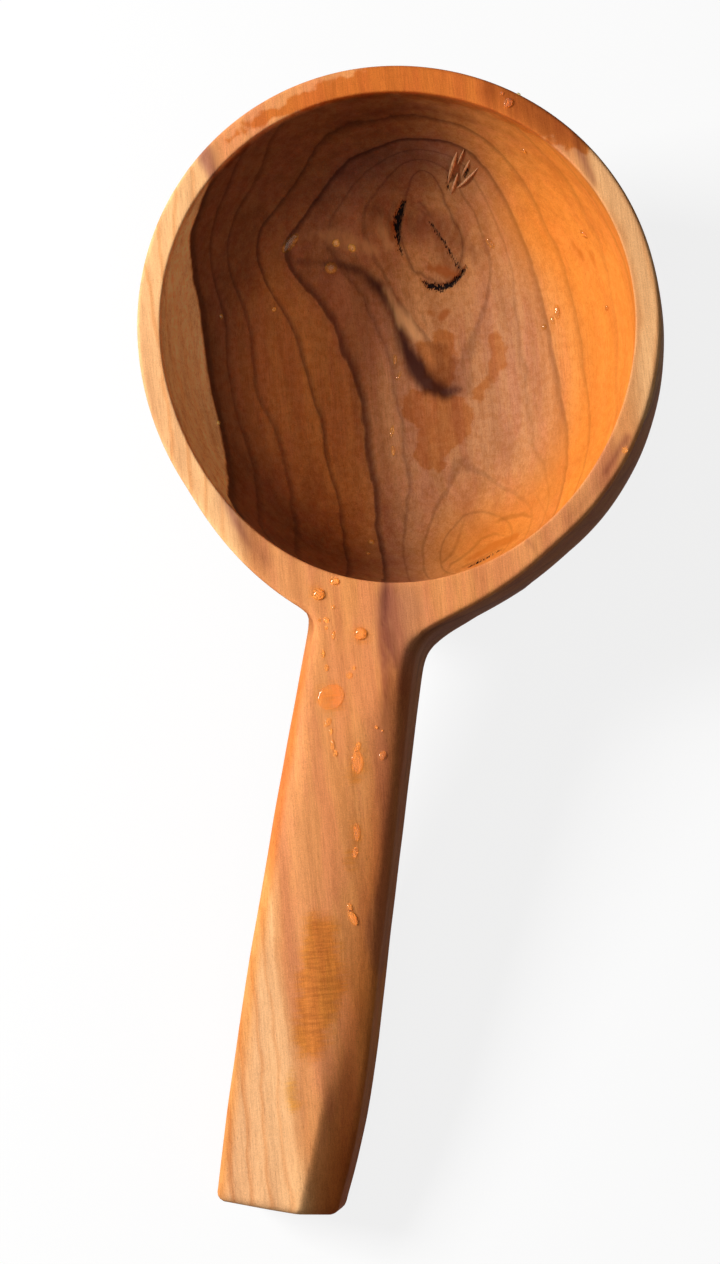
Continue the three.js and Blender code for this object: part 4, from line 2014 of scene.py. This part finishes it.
    def build(self, place: RestPlace, lean: float) -> bpy.types.Material:
        """Build the material.

        Args:
            place: Where the scoop stands.
            lean: How the grain slants.

        Returns:
            The material.
        """
        material = bpy.data.materials.new("carved_wood")
        g = Graph(material)
        ground = self.ground(g, place, lean)
        colour = self.grained(g, ground, self.ringed(g, ground))
        colour = self.toned(g, ground, self.marked(g, ground, colour))
        shore = g.noise(ground.level, self.shore)
        wet = g.span(g.frayed(g.own(Trace.WET), shore, self.wet_by), self.wet_fade)
        colour = self.wetted(g, ground, colour, shore, wet)
        bark = g.frayed(g.own(Trace.BARK), g.noise(ground.level, self.fringe), self.bark_by)
        colour = g.mix(g.span(bark, self.bark_fade), colour, self.bark)
        shader = g.node("ShaderNodeBsdfPrincipled")
        g.feed(shader.inputs["Base Color"], colour)
        rough = g.calc("MULTIPLY_ADD", wet, -self.wet_gloss, self.roughness)
        g.feed(shader.inputs["Roughness"], rough)
        shader.inputs["Specular IOR Level"].default_value = self.specular
        bump = g.node("ShaderNodeBump")
        bump.inputs["Strength"].default_value = self.bump_strength
        bump.inputs["Distance"].default_value = self.bump_height
        g.feed(bump.inputs["Height"], ground.fine)
        g.feed(shader.inputs["Normal"], bump.outputs[0])
        g.finish("ShaderNodeOutputMaterial", shader)
        return material


@dataclass(frozen=True)
class Water:
    """Clear water."""

    index: float = 1.333
    colour: Colour = (0.97, 0.78, 0.34)
    roughness: float = 0.02
    clearness: float = 0.95
    specular: float = 0.4

    def build(self) -> bpy.types.Material:
        """Build the material.

        Returns:
            The material.
        """
        material = bpy.data.materials.new("water")
        g = Graph(material)
        shader = g.node("ShaderNodeBsdfPrincipled")
        for name, value in (
            ("Base Color", self.colour), ("Roughness", self.roughness), ("IOR", self.index),
            ("Transmission Weight", self.clearness), ("Specular IOR Level", self.specular),
        ):
            g.feed(shader.inputs[name], value)
        g.finish("ShaderNodeOutputMaterial", shader)
        return material


@dataclass(frozen=True)
class TornWood:
    """Pale wood, dry and torn along its grain."""

    pale: Colour = (0.80, 0.42, 0.20)
    dark: Colour = (0.45, 0.20, 0.08)
    fibres: Noise = Noise(1.0, 3.0, stretch=(4000.0, 500.0, 900.0))
    fade: Pair = (0.35, 0.65)
    roughness: float = 0.6

    def build(self) -> bpy.types.Material:
        """Build the material.

        Returns:
            The material.
        """
        material = bpy.data.materials.new("torn_wood")
        g = Graph(material)
        where = g.node("ShaderNodeTexCoord").outputs["Object"]
        pale = g.span(g.noise(where, self.fibres), self.fade)
        shader = g.node("ShaderNodeBsdfPrincipled")
        g.feed(shader.inputs["Base Color"], g.mix(pale, self.dark, self.pale))
        g.feed(shader.inputs["Roughness"], self.roughness)
        g.finish("ShaderNodeOutputMaterial", shader)
        return material


@dataclass(frozen=True)
class Lamp:
    """A square soft lamp: its turn and height round the scoop in degrees, how far, size, power."""

    name: str
    turn: float
    height: float
    away: float
    size: float
    power: float

    def hang(self, aim: Vector) -> None:
        """Hang the lamp.

        Args:
            aim: The place that it points at.
        """
        turn, height = math.radians(self.turn), math.radians(self.height)
        flat = math.cos(height)
        way = Vector((math.cos(turn) * flat, math.sin(turn) * flat, math.sin(height)))
        data = bpy.data.lights.new(self.name, "AREA")
        data.size = self.size
        data.energy = self.power
        lamp = place_object(self.name, data)
        lamp.location = aim + way * self.away
        lamp.rotation_mode = "QUATERNION"
        lamp.rotation_quaternion = (-way).to_track_quat("-Z", "Y")


@dataclass(frozen=True)
class Studio:
    """Camera, lamps, floor and background."""

    sensor: float = 36.0
    clip: Pair = (0.01, 30.0)
    aim: Place = (0.0, -0.03, 0.05)
    lamps: tuple[Lamp, ...] = (
        Lamp("key", 181.0, 38.0, 1.1, 0.40, 16.6), Lamp("fill", 292.0, 60.0, 1.4, 1.0, 2.3),
    )
    white: Colour = (1.0, 1.0, 1.0)
    backdrop: Colour = (1.0, 0.93, 0.86)
    backdrop_glow: float = 0.065
    floor_half: float = 12.0
    floor_dark: Colour = (0.13, 0.125, 0.12)
    floor_pale: Colour = (0.9, 0.9, 0.9)
    floor_glow: float = 0.84
    floor_fades: Pair = (0.35, 1.1)

    def camera(self, place: RestPlace, sight: Sight) -> None:
        """Set the camera where the photograph was taken from.

        Args:
            place: Where the scoop stands.
            sight: The photograph's view of the level scoop.
        """
        data = bpy.data.cameras.new("camera")
        data.sensor_fit = "AUTO"
        data.sensor_width = self.sensor
        data.lens = sight.focal / max(sight.picture) * self.sensor
        data.clip_start, data.clip_end = self.clip
        camera = place_object("camera", data)
        right, up, forward = (Vector(place.direction(axis)) for axis in sight.axes())
        turn = Matrix((right, up, -forward)).transposed()
        eye = Vector(place.points(np.array([sight.eye]))[0])
        camera.matrix_world = Matrix.Translation(eye) @ turn.to_4x4()
        bpy.context.scene.camera = camera

    def floor(self) -> None:
        """Lay a floor that looks almost white, keeps shadows and throws little light back."""
        paint = bpy.data.materials.new("pale_floor")
        g = Graph(paint)
        seen = g.looked_at()
        matt = g.node("ShaderNodeBsdfDiffuse")
        g.feed(matt.inputs["Color"], g.mix(seen, self.floor_dark, self.floor_pale))
        glow = g.node("ShaderNodeEmission")
        g.feed(glow.inputs["Color"], self.white)
        away = g.node("ShaderNodeVectorMath", operation="LENGTH")
        g.feed(away.inputs[0], g.node("ShaderNodeTexCoord").outputs["Object"])
        glows = g.span(away.outputs["Value"], self.floor_fades, self.floor_glow)
        both = g.node("ShaderNodeMixShader")
        for socket, value in zip(
            both.inputs, (g.calc("MULTIPLY", seen, glows), matt.outputs[0], glow.outputs[0])
        ):
            g.feed(socket, value)
        g.finish("ShaderNodeOutputMaterial", both)
        data = bpy.data.meshes.new("floor")
        half = self.floor_half
        corners = [(-half, -half, 0), (half, -half, 0), (half, half, 0), (-half, half, 0)]
        data.from_pydata(corners, [], [(0, 1, 2, 3)])
        data.materials.append(paint)
        place_object("floor", data)

    def background(self) -> None:
        """Light the scene softly from all round, and show white behind it."""
        world = bpy.data.worlds.new("backdrop")
        bpy.context.scene.world = world
        g = Graph(world)
        both = g.node("ShaderNodeMixShader")
        g.feed(both.inputs["Fac"], g.looked_at())
        for i, (colour, strength) in enumerate(
            ((self.backdrop, self.backdrop_glow), (self.white, 1.0)), start=1
        ):
            light = g.node("ShaderNodeBackground")
            g.feed(light.inputs["Color"], colour)
            g.feed(light.inputs["Strength"], strength)
            g.feed(both.inputs[i], light.outputs[0])
        g.finish("ShaderNodeOutputWorld", both)

    def build(self, place: RestPlace, sight: Sight) -> None:
        """Set up everything that isn't the scoop.

        Args:
            place: Where the scoop stands.
            sight: The photograph's view of the level scoop.
        """
        self.camera(place, sight)
        bpy.context.scene.view_settings.view_transform = "Standard"
        for lamp in self.lamps:
            lamp.hang(Vector(self.aim))
        self.background()
        self.floor()


@dataclass(frozen=True)
class Wave:
    """A wave over the wood: how many millimetres make a radian along each axis, and its start."""

    lengths: Place
    start: float = 0.0

    def at(self, p: Array) -> Array:
        """Give the wave's height at points."""
        return np.sin((p / self.lengths).sum(-1) + self.start)


@dataclass(frozen=True)
class CarvedScoop:
    """The carved body: its skin, what the carver's tools and the knot left on it, and its wood."""

    shape: ScoopShape
    place: RestPlace
    sight: Sight
    spots: tuple[Spot, ...] = (
        Spot((-2.0, 43.0, -50.0), 22.0, 2), Spot((29.0, -49.0, -41.0), 19.0, 2),
    )
    within: float = 72.0
    below: float = -1.0
    close: float = 0.3
    bark_depth: float = 0.9
    bark_edge: Pair = (-0.35, 0.45)
    torn_at: Place = (4.0, 58.0, -39.0)
    torn_half: Place = (4.5, 5.0, 6.0)
    torn_fade: Pair = (0.5, 1.1)
    torn_depth: float = 0.25
    fibre_depth: float = 0.35
    fibre_pitch: float = 2.6
    fibre_slant: float = 0.4
    fibre_sway: Pair = (0.8, 0.9)
    knot_at: Place = (-5.0, 45.5, -49.6)
    knot_fade: Pair = (10.0, 20.0)
    knot_height: float = 0.10
    knot_pitch: float = 2.1
    waver: float = 0.07
    waver_from: Pair = (1.0, 6.0)
    blade: tuple[tuple[float, Wave, Wave], ...] = (
        (1.0, Wave((8.3, math.inf, 21.0), 1.3), Wave((math.inf, 11.7, -17.0), 0.4)),
        (0.6, Wave((5.3, 5.3, 6.1)), Wave((7.7, -7.7, math.inf), 2.0)),
    )

    def hollows(self, p: Array, bark: Array) -> Array:
        """Work out how deep the skin is cut away.

        Args:
            p: Points of the skin.
            bark: How far each lies within a pocket of bark.

        Returns:
            The depth at each, from the pockets, the torn knot and the blade.
        """
        x, y, z = p.T
        deep = self.bark_depth * smoothstep(bark, *self.bark_edge)
        torn = np.linalg.norm((p - self.torn_at) / self.torn_half, axis=1)
        sway, pace = self.fibre_sway
        fibres = np.sin(self.fibre_pitch * (x + self.fibre_slant * y) + sway * np.sin(pace * z))
        cut = self.torn_depth + self.fibre_depth * (0.5 + 0.5 * fibres)
        deep += (1.0 - smoothstep(torn, *self.torn_fade)) * cut
        knot = np.linalg.norm(p - self.knot_at, axis=1)
        ripple = self.knot_height * np.sin(knot * self.knot_pitch)
        deep += ripple * (1.0 - smoothstep(knot, *self.knot_fade))
        blade = sum(height * a.at(p) * b.at(p) for height, a, b in self.blade)
        return deep + self.waver * blade * smoothstep(-z, *self.waver_from)

    def build(self) -> bpy.types.Object:
        """Carve the body, paint it and bring it to rest.

        Returns:
            The body.
        """
        shape, place = self.shape, self.place
        data = level_mesh("carved_scoop", ScoopBody(shape).build(), self.spots)
        points = mesh_points(data)
        rho = np.hypot(points[:, 0], points[:, 1])
        inside = (rho < self.within) & (points[:, 2] < self.below)
        wall = shape.on_cavity(points[inside])
        close = np.linalg.norm(wall - points[inside], axis=1) < self.close
        points[inside] = np.where(close[:, None], wall, points[inside])
        points = shape.trimmed(points)
        set_points(data, points)
        body = place_object("carved_scoop", data)
        timber = Timber()
        inner = np.zeros(len(points))
        inner[inside] = close
        fields = {RINGS: timber.rings(points, self.sight)}
        for tone, values in Toning().tones(points, inner, shape).items():
            fields[tone.value] = values
        for trace, marks in MARKS.items():
            fields[trace.value] = np.max([m.inside(points, self.sight) for m in marks], axis=0)
        for name, values in fields.items():
            write_field(body, name, values)
        cut = self.hollows(points, fields[Trace.BARK.value])
        points -= mesh_normals(data) * cut[:, None]
        rest = place.points(points)
        rest[:, 2] = np.maximum(rest[:, 2], 0.0)
        set_points(data, rest)
        data.materials.append(CarvedWood().build(place, timber.lean))
        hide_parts("scoop_body")
        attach(body, "root")
        log.info("carved_scoop: %d points, %d faces", len(data.vertices), len(data.polygons))
        return body


@dataclass(frozen=True)
class WaterBeads:
    """The drops left standing on the wet wood."""

    place: RestPlace
    sight: Sight
    sunk: float = 0.12
    detail: int = 4
    spread: float = 0.15
    steepness: float = 1.35
    look_from: float = 60.0

    def seeds(self, body: bpy.types.Object) -> bpy.types.Object:
        """Find where each drop stands, and how it lies there.

        Args:
            body: The carved body.

        Returns:
            An object with a point for each drop, which keeps its turn and size.
        """
        tree = BVHTree.FromPolygons(
            [v.co for v in body.data.vertices], [p.vertices for p in body.data.polygons]
        )
        down = Vector(self.place.direction(np.array([0.0, 0.0, -1.0])))
        spots, turns, sizes = [], [], []
        for bead in BEADS:
            x, y, _ = self.sight.on_wood(bead.at)
            above = Vector(self.place.points(np.array([[x, y, self.look_from]]))[0])
            spot, normal, _, _ = tree.ray_cast(above, down)
            turn = math.radians(bead.turn)
            run = Vector(self.place.direction(np.array([-math.sin(turn), math.cos(turn), 0.0])))
            run = (run - normal * run.dot(normal)).normalized()
            spots.append(spot)
            turns.append(tuple(Matrix((run.cross(normal), run, normal)).transposed().to_euler()))
            radius = (bead.radius + self.spread) * MM
            sizes.append((radius, radius * bead.length, radius * bead.height * self.steepness))
        data = bpy.data.meshes.new("water_beads")
        data.from_pydata(spots, [], [])
        for name, values in (("turn", turns), ("size", sizes)):
            attribute = data.attributes.new(name, "FLOAT_VECTOR", "POINT")
            attribute.data.foreach_set("vector", np.array(values, np.float32).ravel())
        return place_object("water_beads", data)

    def build(self, body: bpy.types.Object) -> bpy.types.Object:
        """Grow a low dome with a flat foot on each spot.

        Args:
            body: The carved body.

        Returns:
            The drops.
        """
        tree = ShapeTree("water_beads", {"Sunk": self.sunk})
        ball = tree.node("GeometryNodeMeshIcoSphere", {"Radius": 1.0, "Subdivisions": self.detail})
        at = tree.node("ShaderNodeSeparateXYZ", {0: tree.node("GeometryNodeInputPosition")[0]})
        floor = tree.node("ShaderNodeMath", {0: tree.given["Sunk"], 1: -1.0}, operation="MULTIPLY")
        lowest = tree.node("ShaderNodeMath", {0: at[2], 1: floor[0]}, operation="MAXIMUM")
        flat = tree.node("ShaderNodeCombineXYZ", {0: at[0], 1: at[1], 2: lowest[0]})
        dome = tree.node("GeometryNodeSetPosition", {"Geometry": ball[0], "Position": flat[0]})
        dome = tree.node("GeometryNodeSetShadeSmooth", {"Geometry": dome[0]})
        points = tree.node("GeometryNodeMeshToPoints", {"Mesh": tree.given["Geometry"]})
        turn = tree.node("FunctionNodeEulerToRotation", {0: tree.own("turn", "FLOAT_VECTOR")})
        drops = tree.node("GeometryNodeInstanceOnPoints", {
            "Points": points[0], "Instance": dome[0], "Rotation": turn[0],
            "Scale": tree.own("size", "FLOAT_VECTOR"),
        })
        beads = tree.grow(self.seeds(body), drops[0], Water().build())
        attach(beads, "root")
        log.info("water_beads: %d faces", len(beads.data.polygons))
        return beads


@dataclass(frozen=True)
class KnotSplinters:
    """The slivers that the gouge tore up beside the knot."""

    place: RestPlace
    sight: Sight
    sides: int = 7
    steps: int = 14
    sunk: float = 0.15
    taper: Pair = (0.08, 0.9)
    thinnest: float = 0.03

    def seeds(self) -> bpy.types.Object:
        """Lay a smooth line for each sliver, lifted off the wood in its middle.

        Returns:
            A curve object with the lines.
        """
        data = bpy.data.curves.new("knot_splinters", "CURVE")
        data.dimensions = "3D"
        for splinter in SPLINTERS:
            a, b, c = (self.sight.on_wood(point) for point in splinter.points)
            line = data.splines.new("POLY")
            line.points.add(self.steps)
            outward = -b / np.linalg.norm(b)
            middle = 2.0 * b - (a + c) / 2.0
            for i, point in enumerate(line.points):
                t = i / self.steps
                where = a * (1 - t) ** 2 + middle * 2 * t * (1 - t) + c * t**2
                where = where + outward * (splinter.lift * math.sin(math.pi * t) - self.sunk)
                thick = math.sin(math.pi * (self.taper[0] + self.taper[1] * t))
                point.co = (*self.place.points(where[None])[0], 1.0)
                point.radius = splinter.width * MM * max(thick, self.thinnest)
        return place_object("knot_splinters", data)

    def build(self) -> bpy.types.Object:
        """Sweep a thin section along each line.

        Returns:
            The splinters.
        """
        tree = ShapeTree("knot_splinters", {"Section": 1.0})
        ring = tree.node("GeometryNodeCurvePrimitiveCircle", {
            "Resolution": self.sides, "Radius": tree.given["Section"],
        })
        swept = tree.node("GeometryNodeCurveToMesh", {
            "Curve": tree.given["Geometry"], "Profile Curve": ring[0],
            "Scale": tree.node("GeometryNodeInputRadius")[0], "Fill Caps": True,
        })
        smooth = tree.node("GeometryNodeSetShadeSmooth", {"Geometry": swept[0]})
        splinters = tree.grow(self.seeds(), smooth[0], TornWood().build())
        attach(splinters, "root")
        log.info("knot_splinters: %d faces", len(splinters.data.polygons))
        return splinters


def main() -> None:
    """Build the scoop and its studio."""
    shape = ScoopShape()
    sight = Sight(shape)
    place = RestPlace.from_record(frame["record"], shape.rim.x)
    body = CarvedScoop(shape, place, sight).build()
    WaterBeads(place, sight).build(body)
    KnotSplinters(place, sight).build()
    Studio().build(place, sight)


if __name__ == "__main__":
    logging.basicConfig(level=logging.INFO)
    main()
